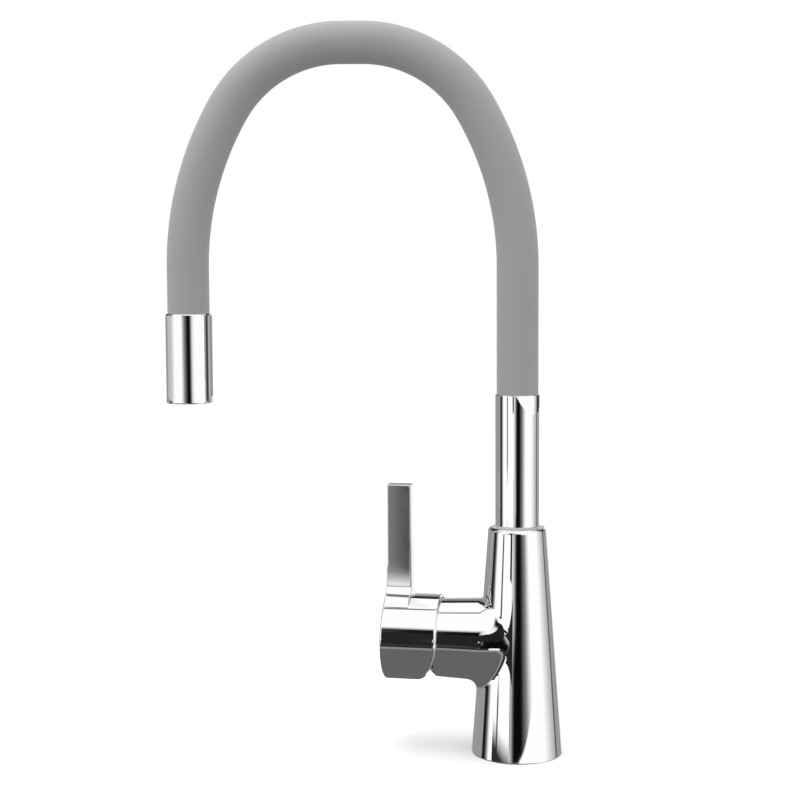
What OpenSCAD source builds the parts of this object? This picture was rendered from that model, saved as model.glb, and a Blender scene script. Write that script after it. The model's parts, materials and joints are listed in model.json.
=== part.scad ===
// Single-lever kitchen faucet with a bendable hose spout.
// The origin is the centre of the foot on the deck and +Z points up.
// The handle hub points along -X, and the spout at rest is turned a little from it.

/* [Body] */
// Radius of the foot on the deck
base_r = 25.8; // [24.5:0.1:30]
// Height of the tapered body above the deck
body_h = 129; // [122:1:150]
// Radius of the body at its shoulder
shoulder_r = 16.3; // [15.8:0.1:19]
// Rounding of the shoulder
shoulder_round = 3.3; // [1:0.1:3.5]
// Depth of the hollow under the foot
relief_depth = 34; // [20:1:36]
// Radius of the boss inside the hollow, which holds the threads
boss_r = 15.2; // [14.8:0.1:16.5]
// Outer radius of the hollow under the foot
relief_r = 20; // [18.5:0.1:20.5]

/* [Deck seal] */
// Width of the seal ring under the foot
seal_w = 2.8; // [2:0.1:3]
// Thickness of the seal ring
seal_t = 2; // [1.5:0.1:3]

/* [Inlets and fixing] */
// Radius of the threaded inlet holes
inlet_r = 4.5; // [4.2:0.1:4.8]
// Depth of the threaded inlet holes
inlet_depth = 14; // [10:1:18]
// Distance of each inlet from the middle plane
inlet_y = 9; // [8.8:0.1:9.4]
// Distance of both inlets behind the body axis
inlet_x = 5; // [4:0.5:6]
// Radius of the water channels above the inlets
channel_r = 3.4; // [3:0.1:3.6]
// Radius of the threaded hole for the fixing stud
stud_r = 3.4; // [3:0.1:3.5]
// Depth of the threaded hole for the fixing stud
stud_depth = 20; // [14:1:24]
// Distance of the fixing stud in front of the body axis
stud_x = 10.5; // [10:0.1:11]

/* [Hub] */
// Height of the handle hub axis above the deck
hub_z = 63.9; // [62:0.1:70]
// Radius of the stub at its outer end
stub_end_r = 22.2; // [22:0.1:22.4]
// Widest radius of the stub
stub_root_r = 23.4; // [22.6:0.1:24]
// Distance from the body axis to the outer end of the stub
stub_end_s = 45.5; // [45:0.1:46]
// Distance from the body axis to the seat of the cartridge
seat_s = 14; // [13.8:0.1:14.2]

/* [Cartridge] */
// Radius of the cartridge housing
housing_r = 17.4; // [17.2:0.1:17.5]
// Wall of the cartridge housing
housing_wall = 1.9; // [1.5:0.1:1.9]
// Thickness of the cartridge base
base_plate_t = 6; // [5.8:0.1:6.2]
// Thickness of the fixed ceramic disc
fixed_disc_t = 3.5; // [3.3:0.1:3.7]
// Thickness of the moving ceramic disc
moving_disc_t = 3.5; // [3.3:0.1:3.7]
// Radius of the fixed ceramic disc
fixed_disc_r = 14.2; // [13.8:0.1:15]
// Radius of the moving ceramic disc
moving_disc_r = 11.4; // [11:0.1:11.6]
// Thickness of the disc carrier
carrier_t = 5; // [4.8:0.1:5.1]
// Radius of the turret that carries the stem
turret_r = 12; // [11.8:0.1:12.2]
// Radius of the water ports in the discs
port_r = 2.6; // [2.2:0.1:2.8]
// Distance of the inlet ports from the middle plane
port_y = 5.6; // [5.4:0.1:6]
// Height of the inlet ports above the hub axis
port_up = 4.2; // [4:0.1:4.5]
// Depth of the outlet port below the hub axis
outlet_down = 4.8; // [4.6:0.1:5]
// Radius of the thread for the cartridge nut
nut_r = 18.7; // [18.5:0.1:18.9]

/* [Stem] */
// Width of the square stem
stem_w = 8; // [7.6:0.1:8.2]
// Radius of the ball at the inner end of the stem
ball_r = 2.8; // [2.6:0.1:2.9]
// Distance from the pivot to the centre of the ball
stem_arm = 9.1; // [9:0.05:9.2]
// Distance from the body axis to the outer end of the stem
stem_end_s = 64; // [63.5:0.1:65]
// Radius of the pivot pin
pin_r = 1.5; // [1.2:0.1:1.8]

/* [Handle] */
// Radius of the round handle cap
cap_r = 24.5; // [24.4:0.1:26]
// Distance from the body axis to the outer end of the cap
cap_end_s = 74.9; // [74:0.1:78]
// Distance from the body axis to the rim of the cap
rim_s = 43.1; // [43:0.1:44]
// Radius of the arc that cuts the lower half of the rim back
rim_arc_r = 30; // [27:0.5:32]
// Wall of the handle cap
cap_wall = 1.6; // [1.3:0.1:1.6]
// Thickness of the end of the handle cap
cap_end_t = 3.4; // [2.5:0.1:5]
// Rounding of the outer edge of the cap
cap_round = 1; // [0.5:0.1:1.5]
// Width of the blade where it leaves the cap
blade_w = 14.9; // [12:0.1:16]
// Width of the blade at its tip
blade_tip_w = 13.8; // [12:0.1:15]
// Thickness of the blade
blade_t = 8.4; // [7:0.1:10]
// Height of the blade tip above the hub axis
blade_top = 87.9; // [70:0.1:100]
// Rounding where the blade meets the cap
blade_fillet = 7; // [4:0.1:9]

/* [Riser] */
// Outer radius of the riser tube
riser_r = 12.4; // [12.3:0.1:13]
// Height of the top of the riser above the deck
riser_top = 203.8; // [195:0.1:210]
// Wall of the riser tube
riser_wall = 1.4; // [1.2:0.1:1.5]
// Depth of the seat that takes the end of the hose
hose_seat = 6; // [4:0.5:8]
// Turn of the spout from the handle hub, at rest
spout_turn = 11.5; // [0:0.5:45]

/* [Swivel] */
// Radius of the swivel socket in the body
socket_r = 11; // [10.8:0.1:11.2]
// Depth of the swivel socket in the top of the body
socket_depth = 41; // [37:0.5:42]
// Radius of the water bore through the spigot
spigot_bore = 4; // [3.5:0.1:4.2]
// Radius of the section of each O-ring
oring_r = 1.2; // [1:0.1:1.3]
// Height of each slip ring
slip_h = 4; // [3:0.5:4.5]
// Wall of each slip ring
slip_wall = 1.2; // [1:0.1:1.4]
// Radius of the spout lock screw
lock_r = 2.5; // [2:0.1:3]

/* [Hose] */
// Outer radius of the silicone sleeve
hose_r = 11.65; // [11.4:0.05:11.7]
// Wall of the silicone sleeve
sleeve_wall = 3.15; // [2.8:0.05:3.4]
// Wall of the bendable core
core_wall = 2.6; // [2.2:0.1:2.8]
// Wall of the water liner
liner_wall = 1.5; // [1:0.1:1.6]
// Distance between the two legs of the arch
reach = 183.4; // [170:0.2:200]
// Height of the middle of the hose at the crown
crown_z = 398.2; // [380:0.1:420]
// Radius of the arch at the crown
crown_r = 72; // [70:0.1:76]
// Angle of the crown arc on each side of the top
crown_half = 60; // [56:0.5:64]
// Length of the straight stretch that holds the crown bend
bend_straight = 12; // [11.8:0.1:14]

/* [Outlet] */
// Outer radius of the outlet housing
outlet_r = 13; // [12.9:0.1:14]
// Length of hose that hangs straight above the outlet
free_leg = 25.3; // [22:0.1:36]
// Length of the outlet housing
outlet_len = 49.8; // [46:0.2:54]
// Radius of the aerator thread
aerator_r = 11.2; // [11:0.1:11.4]
// Length of the aerator
aerator_len = 8.6; // [8:0.1:9.6]
// Radius of the holes in the aerator insert
jet_r = 0.9; // [0.6:0.1:1]

/* [Fits] */
// Gap between pieces that stay fixed to each other
fit_gap = 0.05; // [0.03:0.01:0.08]
// Gap between pieces that run on each other
run_gap = 0.08; // [0.05:0.01:0.1]
// Gap between the ball and the socket where the hose bends
bend_gap = 0.4; // [0.4:0.05:0.5]

/* [Hidden] */
$fn = 96;
eps = 0.01;
// A length that reaches past any piece
far = 400;

// Colours, as the photograph shows them
chrome = [0.80, 0.81, 0.82];
brass = [0.78, 0.66, 0.40];
steel = [0.68, 0.69, 0.70];
rubber = [0.12, 0.12, 0.13];
ceramic = [0.93, 0.92, 0.88];
plastic = [0.90, 0.90, 0.90];
silicone = [0.60, 0.61, 0.60];

// The stub starts just inside the column, swells to its widest and then tapers a little
column_slope = (base_r - shoulder_r) / body_h;
stub_sunk = 0.3;
stub_inner_r = base_r - column_slope * hub_z - stub_sunk;
stub_widest_s = 19;

// The mixed water leaves the cartridge through a channel this deep under the seat
mixed_depth = 9;
mixed_x = seat_s - mixed_depth + channel_r;

// Rubber ring under the foot
seal_outer_r = (base_r + relief_r + seal_w) / 2;

// The cartridge is a stack along the hub axis; s is the distance from the body axis
base_plate_s = seat_s + fit_gap;
fixed_disc_s = base_plate_s + base_plate_t + fit_gap;
moving_disc_s = fixed_disc_s + fixed_disc_t + fit_gap;
carrier_s = moving_disc_s + moving_disc_t + fit_gap;
turret_gap = 0.3;
turret_s = carrier_s + carrier_t + turret_gap;
carrier_floor = 1;
pivot_s = carrier_s + carrier_floor + ball_r + run_gap + stem_arm;
flange_t = 2.6;
collar_s = turret_s + flange_t + run_gap;
collar_floor_t = 2;
nut_s = collar_s + collar_floor_t + fit_gap;
nut_flange_t = 3;
nut_hex_t = 2.2;
collar_wall = 2.2;
collar_r = turret_r + run_gap + collar_wall;
collar_h = nut_flange_t + 1;
skirt_s = nut_s + nut_flange_t + nut_hex_t + fit_gap;
skirt_r = nut_r - fit_gap;
skirt_wall = 1.1;
turret_proud = 1.8;
turret_end_s = skirt_s + turret_proud;
cavity_r = housing_r + fit_gap;
flange_gap = 0.38;
flange_r = housing_r - housing_wall - flange_gap;

// The disc slides up by this much when the handle is fully open
open_angle = 25;
slide_travel = stem_arm * sin(open_angle);
disc_drop = slide_travel / 2;
seat_port_y = port_y + 2;
seat_port_r = port_r + 0.2;
port_seal_w = 1.6;
port_seal_r = seat_port_r + port_seal_w;
port_seal_t = 1.4;

// Pegs that keep the cartridge base and the moving disc from turning
base_peg_r = 1.4;
base_peg_len = 2.5;
base_peg_edge = 4;
base_peg_y = housing_r - base_peg_edge;
disc_peg_r = 1.1;
disc_peg_len = 0.8;
disc_peg_edge = 2.2;
disc_peg_y = moving_disc_r - disc_peg_edge;

// Dome cover between the stub and the handle
dome_len = 6.3;
dome_end_s = stub_end_s + dome_len;
dome_end_r = 16.6;
dome_bore_r = 15.8;

// Handle
cap_bore_r = cap_r - cap_wall;
boss_handle_r = 8;
stem_grip = 11;
boss_handle_s = stem_end_s - stem_grip;
set_screw_back = 3;
set_screw_s = stem_end_s - set_screw_back;
set_screw_r = 2.5;
plug_r = 3;
hex_key_r = 1.25;

// Swivel; on the spigot a slip ring, two O-rings, the lock groove and a slip ring follow upwards
washer_t = 0.9;
washer_z = body_h + fit_gap;
riser_z = washer_z + washer_t + fit_gap;
riser_bore = riser_r - riser_wall;
socket_floor = body_h - socket_depth;
slip_groove = 0.6;
slip_proud = 0.1;
spigot_r = socket_r - slip_wall - slip_proud;
spigot_lift = 0.8;
spigot_bottom = socket_floor + spigot_lift;
spigot_fit = 16;
spigot_top = riser_z + spigot_fit;
slip_edge = 1.5;
lower_slip_z = spigot_bottom + slip_edge;
oring_from_slip = 2.6;
lower_oring_z = lower_slip_z + slip_h + oring_from_slip;
oring_land = 2.2;
upper_oring_z = lower_oring_z + 2 * oring_r + oring_land;
lock_from_oring = 3.5;
lock_z = upper_oring_z + 2 * oring_r + lock_from_oring;
slip_down = 3;
upper_slip_z = body_h - slip_h - slip_down;
oring_centre_r = socket_r - run_gap - oring_r;
oring_play = 0.2;
lock_groove_w = 2 * lock_r - 1.4;
lock_groove_depth = 1.6;
lock_tip_depth = 1.2;

// Collars that join the stretches of the hose stand this far out and in, over this length
joint_proud = 0.06;
joint_len = 1;

// Hose layers, from the outside in
sleeve_bore = hose_r - sleeve_wall;
core_r = sleeve_bore - joint_proud * 2 - fit_gap;
core_bore = core_r - core_wall;
liner_r = core_bore - joint_proud * 2 - fit_gap;
liner_bore = liner_r - liner_wall;

// Arch: a short straight stretch at the crown bend, then on each side
// a crown arc, a wider side arc and a straight leg
half = reach / 2;
side_span = half - bend_straight / 2;
side_r = (side_span - crown_r * sin(crown_half)) / (1 - sin(crown_half));
crown_centre_z = crown_z - crown_r;
leg_top = crown_centre_z - (side_r - crown_r) * cos(crown_half);
side_angle = 90 - crown_half;

// Ends of the hose layers in the riser; the ferrule and the spigot take the core and the liner
sleeve_bottom = riser_top - hose_seat;
ferrule_len = 19;
ferrule_floor = 5;
ferrule_z = sleeve_bottom - ferrule_len;
core_bottom = ferrule_z + ferrule_floor;
liner_seat = 8;
liner_bottom = spigot_top - liner_seat;

// Ends of the hose layers in the outlet; the adapter takes the core and the liner
outlet_top = leg_top - free_leg;
outlet_bottom = outlet_top - outlet_len;
sleeve_end = outlet_top - hose_seat;
outlet_wall = 2.35;
adapter_r = outlet_r - outlet_wall;
adapter_top = sleeve_end - fit_gap;
adapter_len = 16.4;
adapter_bottom = adapter_top - adapter_len;
core_grip = 7;
core_end = adapter_top - core_grip;
liner_lift = 5;
liner_end = adapter_bottom + liner_lift;
shelf_w = 1.6;

// Aerator
aerator_wall = 1.7;
insert_r = aerator_r - aerator_wall;
insert_lip = 1.2;
gasket_t = 2;
gasket_w = 3.3;
aerator_sunk = 0.6;
aerator_z = outlet_bottom + aerator_sunk;
gasket_z = aerator_z + aerator_len + fit_gap;
aerator_seat_z = gasket_z + gasket_t + fit_gap;

// Places its children along the hub: z is the distance from the body axis, x is up
module along_hub() {
    translate([0, 0, hub_z]) rotate([0, -90, 0]) children();
}

// Turns its children to the spout: x runs from the riser to the outlet
module along_spout() {
    rotate([0, 0, 180 + spout_turn]) children();
}

// A ring standing on z
module ring(z, h, r_out, r_in) {
    translate([0, 0, z])
        difference() {
            cylinder(r = r_out, h = h);
            translate([0, 0, -1]) cylinder(r = r_in, h = h + 2);
        }
}

// A cylinder standing on z
module rod(z, h, r) {
    translate([0, 0, z]) cylinder(r = r, h = h);
}

// Body

// Tapered column with a rounded shoulder
module column() {
    edge_r = shoulder_r + column_slope * shoulder_round;
    rotate_extrude()
        union() {
            polygon([
                [0, 0], [base_r, 0], [edge_r, body_h - shoulder_round],
                [edge_r - shoulder_round, body_h - shoulder_round],
                [edge_r - shoulder_round, body_h], [0, body_h]
            ]);
            intersection() {
                translate([edge_r - shoulder_round, body_h - shoulder_round]) circle(r = shoulder_round);
                translate([0, body_h - shoulder_round]) square([edge_r, shoulder_round]);
            }
        }
}

// Side stub that swells out of the column and takes the cartridge
module stub() {
    along_hub()
        rotate_extrude()
            polygon([
                [0, 0], [stub_inner_r, 0], [stub_root_r, stub_widest_s],
                [stub_end_r, stub_end_s], [0, stub_end_s]
            ]);
}

// Water ways, threads and seats inside the casting
module body_cuts() {
    // Cartridge cavity with the thread for the nut
    along_hub() {
        rod(seat_s, far, cavity_r);
        rod(nut_s - 1, far, nut_r);
        translate([-outlet_down, 0, seat_s - mixed_depth])
            cylinder(r = seat_port_r, h = mixed_depth + 1);
        for (side = [-1, 1]) {
            translate([port_up, side * seat_port_y, -inlet_x - channel_r + 1])
                cylinder(r = seat_port_r, h = seat_s + inlet_x + channel_r);
            translate([0, side * base_peg_y, seat_s - base_peg_len - 0.5])
                cylinder(r = base_peg_r + 0.1, h = base_peg_len + 1);
        }
    }
    // Hot and cold inlets from below
    for (side = [-1, 1]) {
        translate([inlet_x, side * inlet_y, -1]) cylinder(r = inlet_r, h = inlet_depth + 1);
        translate([inlet_x, side * inlet_y, inlet_depth - 1])
            cylinder(r = channel_r, h = hub_z + port_up - inlet_depth + 1);
    }
    // Mixed water goes up to the swivel socket
    translate([-mixed_x, 0, hub_z - outlet_down])
        cylinder(r = channel_r, h = socket_floor - hub_z + outlet_down + 1);
    rod(socket_floor, far, socket_r);
    // Fixing stud
    translate([-stud_x, 0, -1]) cylinder(r = stud_r, h = stud_depth + 1);
    // Hollow under the foot and the groove for the deck seal
    ring(-1, relief_depth + 1, relief_r, boss_r);
    ring(-1, seal_t + fit_gap + 1, seal_outer_r + fit_gap, seal_outer_r - seal_w - fit_gap);
    // Lock screw, from behind
    translate([0, 0, lock_z]) rotate([-90, 0, 0]) cylinder(r = lock_r, h = far);
}

module body_casting() {
    color(chrome)
        difference() {
            union() {
                column();
                stub();
            }
            body_cuts();
        }
}

module deck_seal() {
    color(rubber) ring(0, seal_t, seal_outer_r, seal_outer_r - seal_w);
}

// Socket-head grub screw that keeps the spigot in the body
module spout_lock_screw() {
    tip = spigot_r - lock_tip_depth;
    head = socket_r + 4;
    key_depth = 2;
    color(steel)
        translate([0, 0, lock_z])
            rotate([-90, 0, 0])
                difference() {
                    union() {
                        rod(socket_r - 1, head - socket_r + 1, lock_r - fit_gap);
                        rod(tip, head - tip, lock_r - 1);
                    }
                    rod(head - key_depth, key_depth + 1, hex_key_r, $fn = 6);
                }
}

// Cartridge

// Three ports, at the places given for the inlets and the outlet
module ports(z, h, side_y, r) {
    for (side = [-1, 1])
        translate([port_up, side * side_y, z]) cylinder(r = r, h = h);
    translate([-outlet_down, 0, z]) cylinder(r = r, h = h);
}

module cartridge_base() {
    color(plastic)
        along_hub()
            difference() {
                union() {
                    rod(base_plate_s, base_plate_t, housing_r - fit_gap);
                    for (side = [-1, 1])
                        translate([0, side * base_peg_y, seat_s - base_peg_len])
                            cylinder(r = base_peg_r, h = base_peg_len + 1);
                }
                ports(base_plate_s - 1, base_plate_t / 2 + 1.2, seat_port_y, seat_port_r);
                ports(base_plate_s + base_plate_t / 2, base_plate_t, port_y, port_r);
                ports(base_plate_s - 1, port_seal_t + 1, seat_port_y, port_seal_r + fit_gap);
            }
}

// Three rubber rings that seal the ports against the seat
module port_seals() {
    color(rubber)
        along_hub()
            difference() {
                ports(base_plate_s, port_seal_t - fit_gap, seat_port_y, port_seal_r);
                ports(base_plate_s - 1, port_seal_t + 2, seat_port_y, seat_port_r);
            }
}

module fixed_disc() {
    color(ceramic)
        along_hub()
            difference() {
                rod(fixed_disc_s, fixed_disc_t, fixed_disc_r);
                ports(fixed_disc_s - 1, fixed_disc_t + 2, port_y, port_r);
            }
}

// The pocket joins only the outlet at rest, and reaches the inlets when the disc slides up
module moving_disc() {
    pocket_edge = 2.6;
    pocket_r = moving_disc_r - pocket_edge;
    pocket_depth = 2;
    color(ceramic)
        along_hub()
            translate([-disc_drop, 0, 0])
                difference() {
                    rod(moving_disc_s, moving_disc_t, moving_disc_r);
                    intersection() {
                        rod(moving_disc_s - 1, pocket_depth + 1, pocket_r);
                        translate([-2 * pocket_r + disc_drop + 1, -pocket_r, moving_disc_s - 1])
                            cube([2 * pocket_r, 2 * pocket_r, pocket_depth + 1]);
                    }
                    for (side = [-1, 1])
                        translate([0, side * disc_peg_y, carrier_s - disc_peg_len - 0.2])
                            cylinder(r = disc_peg_r, h = disc_peg_len + 1);
                }
}

// Holds the moving disc by two pegs and takes the ball of the stem
module disc_carrier() {
    color(plastic)
        along_hub()
            difference() {
                union() {
                    translate([-disc_drop, 0, 0]) rod(carrier_s, carrier_t, moving_disc_r);
                    translate([-disc_drop, 0, 0])
                        for (side = [-1, 1])
                            translate([0, side * disc_peg_y, carrier_s - disc_peg_len])
                                cylinder(r = disc_peg_r - fit_gap, h = disc_peg_len + 1);
                }
                rod(carrier_s + carrier_floor, carrier_t, ball_r + 0.15);
            }
}

// Turns with the handle; a slot lets the stem tilt on its pin
module cartridge_turret() {
    slot_w = stem_w + 2 * run_gap;
    slot_play = 0.2;
    slot_extra = 4;
    slot_tight = stem_w / 2 / cos(open_angle) + slot_play;
    slot_wide = slot_tight + slot_extra;
    color(plastic)
        along_hub()
            difference() {
                union() {
                    rod(turret_s, flange_t, flange_r);
                    rod(turret_s, turret_end_s - turret_s, turret_r);
                }
                translate([-slot_wide, -slot_w / 2, pivot_s])
                    cube([slot_wide + slot_tight, slot_w, far]);
                translate([-slot_tight, -slot_w / 2, turret_s - 1])
                    cube([slot_wide + slot_tight, slot_w, pivot_s - turret_s + 1 + eps]);
                translate([0, 0, pivot_s])
                    rotate([90, 0, 0])
                        cylinder(r = pin_r + fit_gap, h = far, center = true);
            }
}

module cartridge_housing() {
    inner_r = housing_r - housing_wall;
    housing_s = base_plate_s + base_plate_t + fit_gap;
    color(plastic)
        along_hub()
            difference() {
                union() {
                    rod(housing_s, collar_s + collar_floor_t - housing_s, housing_r - fit_gap);
                    rod(collar_s, collar_floor_t + collar_h, collar_r);
                }
                rod(housing_s - 1, collar_s - housing_s + 1, inner_r);
                rod(collar_s - 1, far, turret_r + run_gap);
            }
}

// Threaded ring with a hexagon for the wrench
module cartridge_nut() {
    hex_inset = 1.2;
    color(brass)
        along_hub()
            difference() {
                union() {
                    rod(nut_s, nut_flange_t, nut_r - fit_gap);
                    rotate([0, 0, 30])
                        translate([0, 0, nut_s])
                            cylinder(r = nut_r - hex_inset, h = nut_flange_t + nut_hex_t, $fn = 6);
                }
                rod(nut_s - 1, far, collar_r + fit_gap);
            }
}

// Bevelled trim ring that closes the stub in front of the handle
module dome_cover() {
    seat = stub_end_s + fit_gap;
    rim_inset = 0.1;
    edge_t = 0.6;
    color(chrome)
        along_hub()
            rotate_extrude()
                polygon([
                    [skirt_r - skirt_wall, skirt_s], [skirt_r, skirt_s], [skirt_r, seat],
                    [stub_end_r - rim_inset, seat], [dome_end_r, dome_end_s],
                    [dome_bore_r, dome_end_s], [skirt_r - skirt_wall, seat + edge_t]
                ]);
}

// Handle

// Square bar with a pin hole, a thin neck and a ball that drives the carrier
module stem() {
    neck_r = 2;
    square_inward = 4.2;
    square_start = pivot_s - square_inward;
    color(steel)
        along_hub()
            difference() {
                union() {
                    translate([-stem_w / 2, -stem_w / 2, square_start])
                        cube([stem_w, stem_w, stem_end_s - square_start]);
                    rod(pivot_s - stem_arm, stem_arm - square_inward + 0.2, neck_r);
                    translate([0, 0, pivot_s - stem_arm]) sphere(r = ball_r);
                }
                translate([0, 0, pivot_s])
                    rotate([90, 0, 0])
                        cylinder(r = pin_r + run_gap, h = far, center = true);
            }
}

module stem_pin() {
    pin_len = 2 * turret_r - 2;
    color(steel)
        along_hub()
            translate([0, 0, pivot_s])
                rotate([90, 0, 0])
                    cylinder(r = pin_r, h = pin_len, center = true);
}

// Round cap; its rim is straight in the upper half and cut back by an arc in the lower half
module cap_shell() {
    difference() {
        rotate_extrude()
            union() {
                polygon([
                    [0, rim_s], [cap_r, rim_s], [cap_r, cap_end_s - cap_round],
                    [cap_r - cap_round, cap_end_s - cap_round],
                    [cap_r - cap_round, cap_end_s], [0, cap_end_s]
                ]);
                intersection() {
                    translate([cap_r - cap_round, cap_end_s - cap_round]) circle(r = cap_round);
                    translate([0, cap_end_s - cap_round]) square([cap_r, cap_round]);
                }
            }
        rod(rim_s - 1, cap_end_s - cap_end_t - rim_s + 1, cap_bore_r);
        rotate([90, 0, 0])
            linear_extrude(far, center = true)
                difference() {
                    translate([-cap_r - 1, rim_s - 1]) square([cap_r + 1, rim_arc_r + 1]);
                    translate([0, rim_s + rim_arc_r]) circle(r = rim_arc_r);
                }
    }
}

// Upright bar, a little narrower at its tip
module blade() {
    blade_s = cap_end_s - blade_w;
    shift = (blade_w - blade_tip_w) / 2;
    root = cap_bore_r + cap_wall / 2;
    fillet_y = blade_t / 2 + blade_fillet;
    fillet_x = sqrt(pow(cap_r + blade_fillet, 2) - pow(fillet_y, 2));
    foot_share = cap_r / (cap_r + blade_fillet);
    translate([0, blade_t / 2, 0])
        rotate([90, 0, 0])
            linear_extrude(blade_t)
                polygon([
                    [root, blade_s], [blade_top, blade_s + shift],
                    [blade_top, cap_end_s - shift], [root, cap_end_s - cap_round]
                ]);
    // Rounded foot on both flat sides
    translate([0, 0, blade_s])
        linear_extrude(blade_w - cap_round)
            difference() {
                polygon([
                    [root, 0], [foot_share * fillet_x, -foot_share * fillet_y],
                    [fillet_x, -fillet_y], [fillet_x, -blade_t / 2], [fillet_x, blade_t / 2],
                    [fillet_x, fillet_y], [foot_share * fillet_x, foot_share * fillet_y]
                ]);
                for (side = [-1, 1])
                    translate([fillet_x, side * fillet_y]) circle(r = blade_fillet);
            }
}

module handle() {
    socket_w = stem_w + 2 * fit_gap;
    socket_end_gap = 0.3;
    plug_from_boss = 2;
    color(chrome)
        along_hub()
            difference() {
                union() {
                    cap_shell();
                    rod(boss_handle_s, cap_end_s - cap_end_t - boss_handle_s + eps, boss_handle_r);
                    blade();
                }
                translate([-socket_w / 2, -socket_w / 2, boss_handle_s - 1])
                    cube([socket_w, socket_w, stem_end_s + socket_end_gap - boss_handle_s + 1]);
                translate([0, 0, set_screw_s])
                    rotate([0, -90, 0]) {
                        cylinder(r = set_screw_r, h = cap_r - 1);
                        translate([0, 0, boss_handle_r + plug_from_boss])
                            cylinder(r = plug_r, h = cap_r);
                    }
            }
}

module handle_set_screw() {
    start = stem_w / 2 + fit_gap;
    length = boss_handle_r - start;
    key_depth = 1.8;
    color(steel)
        along_hub()
            translate([0, 0, set_screw_s])
                rotate([0, -90, 0])
                    difference() {
                        rod(start, length, set_screw_r - fit_gap);
                        rod(start + length - key_depth, key_depth + 1, hex_key_r, $fn = 6);
                    }
}

// Small cover over the screw hole, flush with the cap
module screw_hole_plug() {
    color(plastic)
        along_hub()
            translate([0, 0, set_screw_s])
                rotate([0, -90, 0])
                    intersection() {
                        rod(cap_bore_r - 2, far, plug_r - fit_gap);
                        rotate([0, 90, 0]) cylinder(r = cap_r, h = 4 * plug_r, center = true);
                    }
}

// Swivel and riser

module swivel_washer() {
    washer_inset = 0.4;
    color(plastic) ring(washer_z, washer_t, riser_r - washer_inset, spigot_r + fit_gap);
}

// Runs in the body below the washer and is fixed in the riser above it
module swivel_spigot() {
    color(brass)
        difference() {
            union() {
                rod(spigot_bottom, washer_z + washer_t + fit_gap - spigot_bottom, spigot_r);
                rod(riser_z, spigot_top - riser_z, riser_bore - fit_gap);
            }
            rod(spigot_bottom - 1, far, spigot_bore);
            rod(liner_bottom - fit_gap, far, liner_r + fit_gap);
            for (z = [lower_oring_z, upper_oring_z])
                ring(
                    z - oring_r - oring_play, 2 * (oring_r + oring_play), far,
                    oring_centre_r - oring_r - fit_gap
                );
            for (z = [lower_slip_z, upper_slip_z])
                ring(z - fit_gap, slip_h + 2 * fit_gap, far, spigot_r - slip_groove);
            ring(lock_z - lock_groove_w / 2, lock_groove_w, far, spigot_r - lock_groove_depth);
        }
}

module slip_rings() {
    color(plastic)
        for (z = [lower_slip_z, upper_slip_z])
            ring(z, slip_h, socket_r - run_gap, spigot_r - slip_groove + fit_gap);
}

module spigot_orings() {
    color(rubber)
        for (z = [lower_oring_z, upper_oring_z])
            translate([0, 0, z])
                rotate_extrude()
                    translate([oring_centre_r, 0]) circle(r = oring_r);
}

module riser_tube() {
    color(chrome)
        difference() {
            ring(riser_z, riser_top - riser_z, riser_r, riser_bore);
            rod(sleeve_bottom - fit_gap, far, hose_r + fit_gap);
        }
}

// Brass sleeve that holds the lower end of the core in the riser
module hose_ferrule() {
    color(brass)
        difference() {
            rod(ferrule_z, ferrule_len - fit_gap, riser_bore - fit_gap);
            rod(core_bottom, far, core_r + fit_gap);
            rod(ferrule_z - 1, far, liner_r + fit_gap);
        }
}

// Hose

// Section of one layer of the hose
module layer_section(r, bore) {
    difference() {
        circle(r = r);
        circle(r = bore);
    }
}

// One layer along an arc in the plane of the spout, measured from +x towards +z
module layer_arc(cx, cz, radius, from, to, r, bore) {
    translate([cx, 0, cz])
        rotate([90, 0, 0])
            rotate([0, 0, from])
                rotate_extrude(angle = to - from)
                    translate([radius, 0])
                        layer_section(r, bore);
}

// Short collar that joins two stretches of a layer, at an angle of an arc
module layer_joint(cx, cz, radius, at, r, bore) {
    translate([cx + radius * cos(at), 0, cz + radius * sin(at)])
        rotate([0, -at, 0])
            translate([0, 0, -joint_len / 2])
                linear_extrude(joint_len)
                    layer_section(r + joint_proud, bore - joint_proud);
}

// Ball end of a layer at a bend, standing on z; the inner layers end flat inside the ball
module layer_bead(r, bore) {
    if (r == hose_r)
        rotate_extrude()
            intersection() {
                circle(r = hose_r);
                translate([bore, joint_len / 5]) square([hose_r, hose_r]);
            }
    else
        linear_extrude(sqrt(pow(hose_r, 2) - pow(r, 2)) - 0.2)
            layer_section(r, bore);
}

// Cup end of a layer that takes the ball, a straight stretch of the given length along z
module layer_cup(r, bore, length) {
    rotate_extrude()
        difference() {
            translate([bore, 0]) square([r - bore, length]);
            circle(r = hose_r + bend_gap);
        }
}

// Rising leg from height z, side arc and crown arc up to the crown bend
module riser_layer(r, bore, z) {
    side_x = side_r;
    crown_x = half - bend_straight / 2;
    along_spout()
        union() {
            translate([0, 0, z]) linear_extrude(leg_top - z) layer_section(r, bore);
            layer_joint(side_x, leg_top, side_r, 180, r, bore);
            layer_arc(side_x, leg_top, side_r, 180 - side_angle, 180, r, bore);
            layer_joint(side_x, leg_top, side_r, 180 - side_angle, r, bore);
            layer_arc(crown_x, crown_centre_z, crown_r, 90, 180 - side_angle, r, bore);
            layer_joint(crown_x, crown_centre_z, crown_r, 90, r, bore);
            translate([crown_x, 0, crown_z]) rotate([0, 90, 0]) layer_bead(r, bore);
        }
}

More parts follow.
